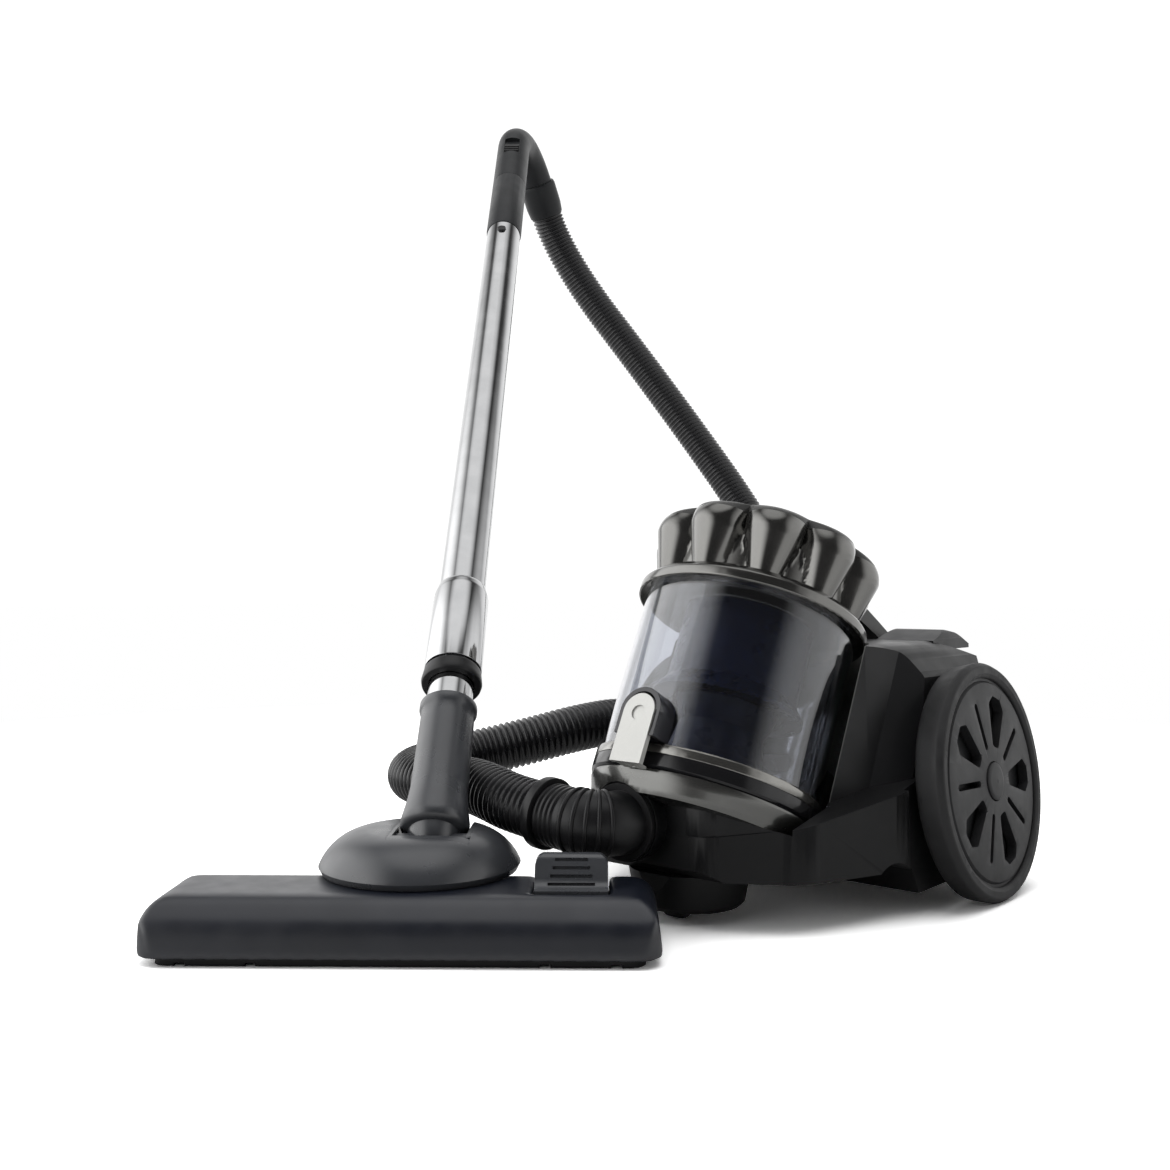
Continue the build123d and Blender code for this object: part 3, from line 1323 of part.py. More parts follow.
with BuildPart() as head_pins:
    rod(ROCK_AXIS, ROCK_PIN_R, PEDAL_LEFT - 5.5, PEDAL_RIGHT + 5.5)
    for x in ROLLER_XS:
        half = ROLLER_W / 2 + SLIDE_GAP + LUG_T
        rod(roller_axis, ROLLER_PIN_R, x - half, x + half)

with BuildPart() as head_rollers:
    for x in ROLLER_XS:
        pipe(roller_axis, ROLLER_R, ROLLER_PIN_R + RUN_GAP, x - ROLLER_W / 2, x + ROLLER_W / 2)

with BuildPart() as turret_dome:
    dome_low = HEAD_H + RUN_GAP
    dome_top = HEAD_H + TURRET_H
    with BuildSketch(Plane(TURRET.origin, x_dir=TURRET.x_dir, z_dir=-TURRET.y_dir)):
        with BuildLine():
            Line((0, dome_low), (TURRET_R - 2.0, dome_low))
            Line((TURRET_R - 2.0, dome_low), (TURRET_R, dome_low + 4.0))
            shoulder = (TURRET_R - 30.0, dome_top - 0.8)
            ThreePointArc((TURRET_R, dome_low + 4.0), (TURRET_R - 9.0, dome_low + 17.0), shoulder)
            Line(shoulder, (0, dome_top))
            Line((0, dome_top), (0, dome_low))
        make_face()
    revolve(axis=Axis(TURRET.origin, (0, 0, 1)))
    rod(TURRET, SPIGOT_TURRET_R, 25.0, dome_low)
    block(
        HEAD,
        (-BARREL_HALF - 1.0, BARREL_HALF + 1.0),
        (TILT_Y - NECK_FLARE_R - 3.0, TURRET_Y + TURRET_R + 1.0),
        (dome_low + 3.0, dome_top + 1.0),
        Mode.SUBTRACT,
    )
    rod(tilt_axis, TILT_PIN_R, -BARREL_HALF - 9.0, BARREL_HALF + 9.0, Mode.SUBTRACT)

with BuildPart() as tilt_pin:
    rod(tilt_axis, TILT_PIN_R, -BARREL_HALF - 8.0, BARREL_HALF + 8.0)

pieces = {
    "base_pan": base_pan,
    "front_cowl": front_cowl,
    "bin_seat": bin_seat,
    "rear_housing": rear_housing,
    "power_pedal": power_pedal,
    "rewind_pedal": rewind_pedal,
    "motor_case": motor_case,
    "motor_stator": motor_stator,
    "motor_rotor": motor_rotor,
    "fan_wheel": fan_wheel,
    "power_switch": power_switch,
    "cord_reel": cord_reel,
    "reel_bracket": reel_bracket,
    "exhaust_filter": exhaust_filter,
    "exhaust_grille": exhaust_grille,
    "cord_outlet": cord_outlet,
    "left_tyre": left_tyre,
    "right_tyre": right_tyre,
    "left_wheel_disc": left_wheel_disc,
    "right_wheel_disc": right_wheel_disc,
    "left_hub_cap": left_hub_cap,
    "right_hub_cap": right_hub_cap,
    "wheel_axles": wheel_axles,
    "caster_pod": caster_pod,
    "caster_fork": caster_fork,
    "caster_wheel": caster_wheel,
    "bin_cup": bin_cup,
    "bin_rim": bin_rim,
    "door_seal": door_seal,
    "bin_door": bin_door,
    "cyclone_shroud": cyclone_shroud,
    "fines_cup": fines_cup,
    "lid_ring": lid_ring,
    "cyclone_lid": cyclone_lid,
    "exhaust_foam": exhaust_foam,
    "lid_cap": lid_cap,
    "carry_handle": carry_handle,
    "release_button": release_button,
    "latch_bracket": latch_bracket,
    "latch_lever": latch_lever,
    "hose_connector": hose_connector,
    "hose": hose,
    "swivel_cuff": swivel_cuff,
    "handle_grip": handle_grip,
    "air_slider": air_slider,
    "handle_connector": handle_connector,
    "snap_button": snap_button,
    "outer_tube": outer_tube,
    "lock_sleeve": lock_sleeve,
    "tube_collar": tube_collar,
    "inner_tube": inner_tube,
    "neck": neck,
    "tilt_pin": tilt_pin,
    "turret_dome": turret_dome,
    "head_cover": head_cover,
    "head_sole": head_sole,
    "brush_bar": brush_bar,
    "head_pedal": head_pedal,
    "head_pins": head_pins,
    "head_rollers": head_rollers,
}
for name, piece in pieces.items():
    piece.part.label = name
    export_step(piece.part, f"parts/{name}.step")
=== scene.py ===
"""Looks of the canister vacuum cleaner: materials, ribbed hose, fine forms, studio and camera."""

import math

import bmesh
import bpy
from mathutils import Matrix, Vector


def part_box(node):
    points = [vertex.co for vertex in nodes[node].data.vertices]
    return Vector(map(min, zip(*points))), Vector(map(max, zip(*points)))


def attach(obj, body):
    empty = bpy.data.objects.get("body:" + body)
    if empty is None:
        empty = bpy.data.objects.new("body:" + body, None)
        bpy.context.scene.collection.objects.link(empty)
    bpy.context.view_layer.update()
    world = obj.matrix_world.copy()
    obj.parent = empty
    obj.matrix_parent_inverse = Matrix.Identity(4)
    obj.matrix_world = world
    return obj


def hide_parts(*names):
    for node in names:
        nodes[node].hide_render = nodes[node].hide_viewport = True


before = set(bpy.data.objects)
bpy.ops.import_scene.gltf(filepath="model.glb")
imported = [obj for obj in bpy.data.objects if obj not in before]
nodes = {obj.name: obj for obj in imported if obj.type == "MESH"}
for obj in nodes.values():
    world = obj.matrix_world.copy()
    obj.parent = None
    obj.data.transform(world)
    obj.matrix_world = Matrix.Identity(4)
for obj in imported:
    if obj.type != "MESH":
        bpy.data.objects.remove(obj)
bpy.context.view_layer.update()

MM = 0.001

# The canister's own axes: the floor point under the axle, x to its left and y to its rear
left_low, left_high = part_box("left_tyre")
right_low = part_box("right_tyre")[0]
AXLE = Vector(((left_high.x + right_low.x) / 2, (left_low.y + left_high.y) / 2, 0))


def at(x, y, z):
    """A point given in canister millimetres, in the part's frame."""
    return AXLE + Vector((x, y, z)) * MM


# Camera: level, at the height and bearing of the photograph

IMAGE_WIDTH = 1170
FOCAL_PX = 1241.3
SENSOR_MM = 36.0
EYE = at(489.8, -839.7, 219.3)
BEARING = math.radians(40.84)
NEAR_CLIP = 0.02


def add_camera():
    camera = bpy.data.objects.new("camera", bpy.data.cameras.new("camera"))
    camera.data.sensor_width = SENSOR_MM
    camera.data.lens = SENSOR_MM * FOCAL_PX / IMAGE_WIDTH
    camera.data.clip_start = NEAR_CLIP
    camera.location = EYE
    camera.rotation_euler = (math.pi / 2, 0, BEARING)
    bpy.context.collection.objects.link(camera)
    bpy.context.scene.camera = camera


# Node helpers

RANGE_SOCKETS = ("From Min", "From Max", "To Min", "To Max")


class Shader:
    """A material's node tree with a Principled shader and short ways to add to it."""

    def __init__(self, name):
        self.material = bpy.data.materials.new(name)
        self.material.use_nodes = True
        self.tree = self.material.node_tree
        self.bsdf = self.tree.nodes["Principled BSDF"]
        self.coords = self.tree.nodes.new("ShaderNodeTexCoord").outputs["Object"]

    def set(self, **values):
        for name, value in values.items():
            socket = name.replace("_", " ").title().replace("Ior", "IOR")
            self.bsdf.inputs[socket].default_value = value

    def add(self, kind, **inputs):
        node = self.tree.nodes.new(kind)
        for name, value in inputs.items():
            self.plug(node.inputs[name.replace("_", " ")], value)
        return node

    def plug(self, socket, value):
        if isinstance(value, bpy.types.NodeSocket):
            self.tree.links.new(value, socket)
        else:
            socket.default_value = value

    def noise(self, size_mm, detail):
        """Noise whose blotches are about size_mm across."""
        scale = 1 / (size_mm * MM)
        node = self.add("ShaderNodeTexNoise", Vector=self.coords, Scale=scale, Detail=detail)
        return node.outputs["Fac"]

    def spread(self, factor, low, high, start=0.3, end=0.7):
        """A factor remapped to a range of values."""
        node = self.add("ShaderNodeMapRange", Value=factor)
        for name, value in zip(RANGE_SOCKETS, (start, end, low, high)):
            node.inputs[name].default_value = value
        return node.outputs["Result"]

    def tint(self, factor, dark, light):
        """A colour between two, by a factor."""
        node = self.tree.nodes.new("ShaderNodeMix")
        node.data_type = "RGBA"
        self.plug(node.inputs[0], factor)
        sockets = [socket for socket in node.inputs if socket.type == "RGBA"]
        for socket, colour in zip(sockets, (dark, light)):
            linked = isinstance(colour, bpy.types.NodeSocket)
            self.plug(socket, colour if linked else (*colour, 1))
        return next(socket for socket in node.outputs if socket.type == "RGBA")

    def colour(self, factor, dark, light):
        """Vary the surface's colour between two, by a factor."""
        self.plug(self.bsdf.inputs["Base Color"], self.tint(factor, dark, light))

    def roughen(self, factor, low, high):
        """Vary the surface's roughness between two values, by a factor."""
        self.plug(self.bsdf.inputs["Roughness"], self.spread(factor, low, high))

    def bump(self, height, depth_mm, strength=1.0):
        node = self.add("ShaderNodeBump", Height=height, Distance=depth_mm * MM, Strength=strength)
        self.plug(self.bsdf.inputs["Normal"], node.outputs["Normal"])


# Materials: sizes of blotches, grain and depths are in millimetres

MOTTLE_SIZE = 45.0
MOTTLE_SHADES = (0.86, 1.12)
SHEEN_SIZE = 18.0
SHEEN_REACH = 0.05
GRAIN_SIZE = 0.7
GRAIN_DEPTH = 0.02
GRAIN_STRENGTH = 0.5
FLAKE_SIZE = 0.35
FLAKE_SHADES = (0.93, 1.07)
CLOUD_SIZE = 30.0
MARK_SIZE = 22.0
LINE_SIZE = 0.6
SCUFF_SIZE = 8.0
DUST_SIZE = 12.0
PORE_SIZE = 1.6
# Soft edge round the hollow's grey, which is paint and painted light
PAINT_AND_LIGHT_EDGE = 0.4 * MM


def shade(colour, share):
    return [channel * share for channel in colour]


def mottling(shader):
    return shader.spread(shader.noise(MOTTLE_SIZE, detail=4.0), 0, 1)


def grain(shader, size=GRAIN_SIZE, depth=GRAIN_DEPTH):
    shader.bump(shader.noise(size, detail=3.0), depth, GRAIN_STRENGTH)


def moulded(
    name, colour, roughness, grain_size=GRAIN_SIZE, grain_depth=GRAIN_DEPTH, coat=0.0, gloss=0.2
):
    """Moulded plastic with a fine spark-eroded grain, slight mottling and handling sheen."""
    shader = Shader(name)
    shader.colour(mottling(shader), *(shade(colour, share) for share in MOTTLE_SHADES))
    sheen = shader.noise(SHEEN_SIZE, detail=5.0)
    shader.roughen(sheen, roughness - SHEEN_REACH, roughness + SHEEN_REACH)
    grain(shader, grain_size, grain_depth)
    shader.set(coat_weight=coat, coat_roughness=0.12, specular_ior_level=gloss)
    return shader.material


def metallic_plastic(name, colour, roughness, metal):
    """Plastic with metal flakes under a clear lacquer."""
    shader = Shader(name)
    flake = shader.spread(shader.noise(FLAKE_SIZE, detail=1.0), 0, 1, 0.35, 0.65)
    shader.colour(flake, *(shade(colour, share) for share in FLAKE_SHADES))
    shader.roughen(shader.noise(CLOUD_SIZE, detail=3.0), roughness - 0.04, roughness + 0.05)
    shader.set(metallic=metal, coat_weight=0.6, coat_roughness=0.05)
    return shader.material


def polished_chrome(name):
    """Plated tube: bright, with faint hand marks."""
    shader = Shader(name)
    marks = shader.noise(MARK_SIZE, detail=6.0)
    shader.roughen(marks, 0.05, 0.13)
    shader.colour(shader.spread(marks, 0, 1), (0.5, 0.503, 0.51), (0.58, 0.583, 0.59))
    shader.set(metallic=1.0)
    return shader.material


def turned_steel(name):
    shader = Shader(name)
    lines = shader.noise(LINE_SIZE, detail=2.0)
    shader.roughen(lines, 0.28, 0.42)
    shader.colour(lines, (0.42, 0.42, 0.43), (0.58, 0.58, 0.59))
    shader.set(metallic=1.0)
    return shader.material


def clear_plastic(name, colour):
    """Smoked clear plastic."""
    shader = Shader(name)
    scuff = shader.noise(SCUFF_SIZE, detail=5.0)
    shader.roughen(scuff, 0.015, 0.05)
    shader.colour(scuff, shade(colour, 0.97), colour)
    shader.set(transmission_weight=1.0, ior=1.34, specular_ior_level=0.7)
    shader.set(coat_weight=1.0, coat_roughness=0.03, coat_ior=1.5)
    return shader.material


def hollow_paint_and_light(name, colour, paint, origin, slope, radius):
    """Black plastic whose round hollow behind the bin carries the seat's grey metallic paint; the
    grey is also painted light, which shows pale through the cup's right side.
    """
    shader = Shader(name)
    mapping = shader.add("ShaderNodeMapping", Vector=shader.coords)
    mapping.vector_type = "TEXTURE"
    mapping.inputs["Location"].default_value = origin
    mapping.inputs["Rotation"].default_value = (-slope, 0, 0)
    split = shader.add("ShaderNodeSeparateXYZ", Vector=mapping.outputs["Vector"])
    flat = shader.add("ShaderNodeCombineXYZ", X=split.outputs["X"], Y=split.outputs["Y"])
    reach = shader.add("ShaderNodeVectorMath", Vector=flat.outputs["Vector"])
    reach.operation = "LENGTH"
    inside = shader.spread(reach.outputs["Value"], 1.0, 0.0, radius, radius + PAINT_AND_LIGHT_EDGE)
    black = shader.tint(mottling(shader), *(shade(colour, share) for share in MOTTLE_SHADES))
    # Inside the hollow the colour is the seat's grey paint, which is also painted light seen
    # through the cup
    shader.colour(inside, black, paint)
    shader.roughen(shader.noise(SHEEN_SIZE, detail=5.0), 0.33, 0.43)
    grain(shader)
    shader.set(specular_ior_level=0.3)
    return shader.material


def rubber(name, colour):
    shader = Shader(name)
    dust = shader.noise(DUST_SIZE, detail=5.0)
    dusty = [channel * 1.6 + 0.004 for channel in colour]
    shader.colour(shader.spread(dust, 0, 1), colour, dusty)
    shader.roughen(dust, 0.5, 0.68)
    grain(shader, 1.1, 0.03)
    return shader.material


def foam(name, colour):
    shader = Shader(name)
    pores = shader.noise(PORE_SIZE, detail=4.0)
    # The low spots of the bump are painted darker: painted shade in the pores
    shader.colour(pores, shade(colour, 0.6), colour)
    shader.bump(pores, 0.6)
    shader.set(roughness=0.95)
    return shader.material


body_black = moulded("body_black", (0.006, 0.0061, 0.0068), 0.36, gloss=0.3)
skirt_grey = moulded("skirt_grey", (0.0065, 0.0066, 0.0072), 0.45, gloss=0.25)
pedal_grey = moulded("pedal_grey", (0.022, 0.0223, 0.024), 0.4, gloss=0.3)
wheel_grey = moulded("wheel_grey", (0.02, 0.0203, 0.0215), 0.45, gloss=0.3)
handle_grey = moulded("handle_grey", (0.014, 0.0148, 0.016), 0.4)
dome_grey = moulded("dome_grey", (0.034, 0.036, 0.0405), 0.3, grain_depth=0.008, gloss=0.8)
head_navy = moulded("head_navy", (0.0045, 0.006, 0.0115), 0.36, gloss=0.9)
hose_black = moulded("hose_black", (0.009, 0.009, 0.0102), 0.27, gloss=0.5)
collar_black = moulded("collar_black", (0.0075, 0.0075, 0.0083), 0.38, gloss=0.35)
shroud_navy = moulded("shroud_navy", (0.007, 0.0125, 0.04), 0.3, gloss=0.2)
inner_plastic = moulded("inner_plastic", (0.35, 0.35, 0.34), 0.5)
cap_grey = moulded("cap_grey", (0.03, 0.0298, 0.0292), 0.36, gloss=0.3)
door_black = moulded("door_black", (0.008, 0.008, 0.009), 0.2, coat=0.5)
bracket_smoke = moulded("bracket_smoke", (0.02, 0.02, 0.023), 0.15, coat=0.6)
bristle_black = moulded(
    "bristle_black", (0.012, 0.012, 0.012), 0.75, grain_size=0.4, grain_depth=0.3
)
seat_grey = metallic_plastic("seat_grey", (0.13, 0.13, 0.124), 0.24, metal=0.9)
lid_gunmetal = metallic_plastic("lid_gunmetal", (0.15, 0.148, 0.141), 0.18, metal=0.95)
rim_champagne = metallic_plastic("rim_champagne", (0.26, 0.255, 0.24), 0.18, metal=0.95)
latch_silver = metallic_plastic("latch_silver", (0.44, 0.44, 0.42), 0.34, metal=0.3)
wand_chrome = polished_chrome("wand_chrome")
steel = turned_steel("steel")
cup_clear = clear_plastic("cup_clear", (0.62, 0.64, 0.69))
tyre_black = rubber("tyre_black", (0.0065, 0.0065, 0.0072))
seal_rubber = rubber("seal_rubber", (0.012, 0.012, 0.012))
filter_foam = foam("filter_foam", (0.6, 0.6, 0.56))

BIN_TILT = math.radians(25.8)
BIN_AXIS = at(0, -152.2, 70.7)
RECESS_R = 84.3 * MM
# The hollow's grey is the seat's paint and also painted light, pale through the cup's right side
housing_black = hollow_paint_and_light(
    "housing_black",
    (0.0085, 0.0086, 0.0095),
    (0.1, 0.101, 0.097),
    BIN_AXIS,
    BIN_TILT,
    RECESS_R,
)

FINISH = {
    housing_black: ("rear_housing",),
    body_black: ("front_cowl", "exhaust_grille", "caster_fork", "head_sole"),
    skirt_grey: ("base_pan", "caster_pod"),
    pedal_grey: ("power_pedal", "rewind_pedal"),
    seat_grey: ("bin_seat",),
    wheel_grey: ("left_wheel_disc", "right_wheel_disc", "left_hub_cap", "right_hub_cap"),
    tyre_black: ("left_tyre", "right_tyre", "caster_wheel", "head_rollers"),
    steel: ("wheel_axles", "tilt_pin", "head_pins", "motor_stator", "motor_rotor"),
    inner_plastic: ("motor_case", "fan_wheel", "power_switch", "cord_reel", "reel_bracket"),
    filter_foam: ("exhaust_filter", "exhaust_foam"),
    seal_rubber: ("cord_outlet", "door_seal"),
    cup_clear: ("bin_cup",),
    rim_champagne: ("bin_rim",),
    door_black: ("bin_door",),
    shroud_navy: ("cyclone_shroud", "fines_cup"),
    lid_gunmetal: ("lid_ring", "cyclone_lid"),
    cap_grey: ("lid_cap", "carry_handle"),
    latch_silver: ("latch_lever", "release_button"),
    bracket_smoke: ("latch_bracket",),
    hose_black: ("hose",),
    handle_grey: ("swivel_cuff", "handle_grip", "handle_connector"),
    collar_black: ("hose_connector", "air_slider", "snap_button", "tube_collar"),
    wand_chrome: ("outer_tube", "inner_tube", "lock_sleeve"),
    dome_grey: ("neck", "turret_dome", "head_pedal"),
    head_navy: ("head_cover",),
    bristle_black: ("brush_bar",),
}

# The head's moulding: fineness of its smoothing grid in millimetres, how often it is smoothed and
# how far each time
HEAD_GRID = 1.6
HEAD_MELT = 24
MELT_SHARE = 0.5

# Rounded edges: the width of the softened edge of each moulded piece, in millimetres
EDGE = {
    "base_pan": 3.0,
    "front_cowl": 1.5,
    "rear_housing": 5.0,
    "head_cover": 1.5,
    "head_pedal": 0.8,
    "turret_dome": 1.0,
    "neck": 0.8,
    "bin_seat": 0.8,
    "bin_rim": 0.8,
    "bin_door": 0.8,
    "lid_ring": 0.8,
    "carry_handle": 1.2,
    "latch_lever": 0.6,
    "latch_bracket": 0.6,
    "left_wheel_disc": 0.7,
    "right_wheel_disc": 0.7,
    "left_tyre": 1.2,
    "right_tyre": 1.2,
    "left_hub_cap": 0.5,
    "right_hub_cap": 0.5,
    "power_pedal": 1.0,
    "rewind_pedal": 1.0,
    "tube_collar": 0.6,
    "lock_sleeve": 0.4,
    "handle_connector": 0.5,
    "swivel_cuff": 0.8,
    "hose_connector": 0.5,
}

WELD_GAP = 0.02
EDGE_SEGMENTS = 3
EDGE_ANGLE = math.radians(32)


def soften(piece, width):
    """Round a piece's sharp edges to a width in millimetres."""
    weld = piece.modifiers.new("weld", "WELD")
    weld.merge_threshold = WELD_GAP * MM
    bevel = piece.modifiers.new("edge", "BEVEL")
    bevel.width = width * MM
    bevel.segments = EDGE_SEGMENTS
    bevel.limit_method = "ANGLE"
    bevel.angle_limit = EDGE_ANGLE
    bevel.harden_normals = True


def round_off(piece):
    """Melt a moulding's edges together, as a thick soft-edged moulding has them."""
    grid = piece.modifiers.new("grid", "REMESH")
    grid.mode = "VOXEL"
    grid.voxel_size = HEAD_GRID * MM
    grid.use_smooth_shade = True
    melt = piece.modifiers.new("melt", "SMOOTH")
    melt.factor = MELT_SHARE
    melt.iterations = HEAD_MELT


def finish_nodes():
    """Give each CAD node its material, and soften the edges of the moulded ones."""
    for material, names in FINISH.items():
        for name in names:
            mesh = nodes[name].data
            mesh.materials.clear()
            mesh.materials.append(material)
    for name, width in EDGE.items():
        soften(nodes[name], width)
    round_off(nodes["head_cover"])


# Hose: a ribbed tube along the route

HOSE_R = 19.5 * MM
RIB_PITCH = 5.0 * MM
RIB_DEPTH = 2.4 * MM
RIB_STEPS = 5
RIB_POWER = 1.6
HOSE_SIDES = 28
ROUTE_STEPS = 24
HOSE_ROUTE = [
    (-59.8, -244.0, 71.0),
    (-87.7, -244.0, 73.4),
    (-114.0, -238.0, 77.0),
    (-142.0, -231.0, 79.0),
    (-180.0, -229.0, 77.0),
    (-221.0, -219.0, 75.0),
    (-248.0, -186.0, 75.0),
    (-244.0, -142.0, 80.0),
    (-216.0, -100.0, 90.0),
    (-191.0, -56.0, 101.0),
    (-181.0, -6.0, 104.0),
    (-181.0, 56.0, 84.0),
    (-187.0, 120.0, 47.0),
    (-193.0, 190.0, 25.0),
    (-200.0, 268.0, 31.0),
    (-216.0, 346.0, 66.0),
    (-247.0, 412.0, 130.0),
    (-298.0, 446.0, 217.0),
    (-360.0, 447.0, 312.0),
    (-430.0, 428.0, 412.0),
    (-499.0, 399.0, 514.0),
    (-552.0, 367.0, 596.0),
    (-578.8, 334.5, 665.2),
    (-576.5, 319.4, 688.6),
]


def route_points(name, route):
    """Points along the smooth line that a route's control points give."""
    curve = bpy.data.curves.new(name + "_route", "CURVE")
    curve.dimensions = "3D"
    spline = curve.splines.new("NURBS")
    spline.points.add(len(route) - 1)
    for point, place in zip(spline.points, route):
        point.co = (*at(*place), 1)
    spline.order_u = 3
    spline.use_endpoint_u = True
    spline.resolution_u = ROUTE_STEPS
    holder = bpy.data.objects.new(name + "_route", curve)
    mesh = bpy.data.meshes.new_from_object(holder)
    points = [vertex.co.copy() for vertex in mesh.vertices]
    bpy.data.objects.remove(holder)
    bpy.data.meshes.remove(mesh)
    return points


def even_steps(points, step):
    """The same line, at even steps."""
    lengths = [0.0]
    for a, b in zip(points, points[1:]):
        lengths.append(lengths[-1] + (b - a).length)
    count = round(lengths[-1] / step)
    line, k = [], 0
    for index in range(count + 1):
        target = lengths[-1] * index / count
        while k < len(points) - 2 and lengths[k + 1] < target:
            k += 1
        share = (target - lengths[k]) / (lengths[k + 1] - lengths[k])
        line.append(points[k].lerp(points[k + 1], share))
    return line


def ribbed_hose():
    """The hose, with a rib at every pitch of its smooth line."""
    line = even_steps(route_points("hose", HOSE_ROUTE), RIB_PITCH / RIB_STEPS)
    bm = bmesh.new()
    normal = Vector((0, 0, 1))
    rings = []
    for index, centre in enumerate(line):
        ahead = line[min(index + 1, len(line) - 1)] - line[max(index - 1, 0)]
        tangent = ahead.normalized()
        normal = (normal - tangent * normal.dot(tangent)).normalized()
        across = tangent.cross(normal)
        phase = (index % RIB_STEPS) / RIB_STEPS
        valley = (0.5 + 0.5 * math.cos(2 * math.pi * phase)) ** RIB_POWER
        radius = HOSE_R - RIB_DEPTH * valley
        ring = []
        for side in range(HOSE_SIDES):
            angle = 2 * math.pi * side / HOSE_SIDES
            outward = normal * math.cos(angle) + across * math.sin(angle)
            ring.append(bm.verts.new(centre + radius * outward))
        rings.append(ring)
    for a, b in zip(rings, rings[1:]):
        for side in range(HOSE_SIDES):
            after = (side + 1) % HOSE_SIDES
            bm.faces.new((a[side], a[after], b[after], b[side]))
    bm.faces.new(list(reversed(rings[0])))
    bm.faces.new(rings[-1])
    bmesh.ops.recalc_face_normals(bm, faces=bm.faces)
    mesh = bpy.data.meshes.new("ribbed_hose")
    bm.to_mesh(mesh)
    bm.free()
    mesh.shade_smooth()
    hose = bpy.data.objects.new("ribbed_hose", mesh)
    bpy.context.collection.objects.link(hose)
    mesh.materials.append(hose_black)
    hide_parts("hose")
    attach(hose, "canister")


# Fine forms: pieces that stand for a node or sit on one

HEAD_YAW = math.radians(39.8)
HEAD_ORIGIN = at(-89.4, -317.4, 0)
HEAD_X = Vector((math.cos(HEAD_YAW), math.sin(HEAD_YAW), 0))
HEAD_Y = Vector((-math.sin(HEAD_YAW), math.cos(HEAD_YAW), 0))
WAND_FOOT = HEAD_ORIGIN + Vector((0, 0, 42.0 * MM))
WAND_DIR = (HEAD_Y + Vector((0, 0, 1))).normalized()
BIN_ORIGIN = at(0, -93.88, 191.34)
BIN_UP = Vector((0, math.sin(BIN_TILT), math.cos(BIN_TILT)))
BIN_BACK = Vector((0, math.cos(BIN_TILT), -math.sin(BIN_TILT)))
BIN_SIDE = Vector((1, 0, 0))
MERGE_GAP = 0.01
SHARP_ANGLE = math.radians(40)


def new_piece(name, points, faces, material, body, replaced=()):
    """A smooth mesh piece that rides on a body."""
    mesh = bpy.data.meshes.new(name)
    mesh.from_pydata(points, [], faces)
    bm = bmesh.new()
    bm.from_mesh(mesh)
    bmesh.ops.remove_doubles(bm, verts=bm.verts, dist=MERGE_GAP * MM)
    bmesh.ops.recalc_face_normals(bm, faces=bm.faces)
    bm.to_mesh(mesh)
    bm.free()
    mesh.shade_smooth()
    mesh.set_sharp_from_angle(angle=SHARP_ANGLE)
    mesh.materials.append(material)
    piece = bpy.data.objects.new(name, mesh)
    bpy.context.collection.objects.link(piece)
    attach(piece, body)
    if replaced:
        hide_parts(*replaced)


def ring_faces(rings, closed=False):
    """Quads between rings of equal count; a ring of one point closes to a fan."""
    faces = []
    pairs = list(zip(rings, rings[1:]))
    if closed:
        pairs.append((rings[-1], rings[0]))
    for a, b in pairs:
        count = max(len(a), len(b))
        for k in range(count):
            after = (k + 1) % count
            corners = [a[k % len(a)], a[after % len(a)]]
            corners += [b[after % len(b)], b[k % len(b)]]
            faces.append(list(dict.fromkeys(corners)))
    return faces


def ring_piece(name, circles, material, body, replaced=(), closed=False):
    """A piece from rings of points."""
    points, rings = [], []
    for ring in circles:
        rings.append(list(range(len(points), len(points) + len(ring))))
        points.extend(ring)
    faces = ring_faces(rings, closed)
    new_piece(name, points, faces, material, body, replaced)


def circle(centre, axis, radius, sides=64):
    """Points of a circle round an axis."""
    across = axis.orthogonal().normalized()
    along = axis.cross(across)
    turns = [2 * math.pi * k / sides for k in range(sides)]
    return [centre + radius * (across * math.cos(a) + along * math.sin(a)) for a in turns]


# Foot of the neck: a flared skirt over a round knuckle, as radius and height in millimetres
NECK_TIP = 9.0
NECK_CLOSE = 63.0
NECK_FOOT = (
    (8.0, 9.4),
    (12.5, 12.5),
    (15.2, 17.0),
    (16.4, 22.0),
    (17.0, 25.6),
    (20.6, 27.2),
    (22.2, 30.0),
    (22.3, 34.0),
    (21.0, 42.0),
    (19.7, 51.0),
    (18.75, 62.0),
)


def neck_foot():
    def up_the_wand(height):
        return WAND_FOOT + WAND_DIR * height * MM

    circles = [[up_the_wand(NECK_TIP)]]
    for radius, height in NECK_FOOT:
        circles.append(circle(up_the_wand(height), WAND_DIR, radius * MM))
    circles.append([up_the_wand(NECK_CLOSE)])
    ring_piece("neck_foot", circles, dome_grey, "lower_wand")


# Bridge in front of the knuckle and cheeks beside it, level with the dome
DOME_CENTRE = (-9.0, 20.0)
DOME_TOP = 65.0
DOME_SHOULDER = (34.0, 64.2)
DOME_ARC = ((64.0, 42.3), (55.0, 55.3), (34.0, 64.2))
SLOT_HALF = 25.4
BRIDGE = (-13.9, -6.2)
CHEEK_IN = 23.0
CHEEK_REAR = 60.0
BARREL_TOP = 62.9
BARREL_REAR = 21.5
SLOT_FLOOR = 45.0
LEAST_WALL = 0.2
BRIDGE_GRID = (24, 6)
SILL_GRID = (3, 12)
CHEEK_GRID = (3, 20)


def arc_centre(a, b, c):
    """Centre of the circle through three points in a plane."""
    d = 2 * (a[0] * (b[1] - c[1]) + b[0] * (c[1] - a[1]) + c[0] * (a[1] - b[1]))
    squares = [q[0] ** 2 + q[1] ** 2 for q in (a, b, c)]
    rises = (b[1] - c[1], c[1] - a[1], a[1] - b[1])
    runs = (c[0] - b[0], a[0] - c[0], b[0] - a[0])
    x = sum(square * rise for square, rise in zip(squares, rises)) / d
    y = sum(square * run for square, run in zip(squares, runs)) / d
    return x, y


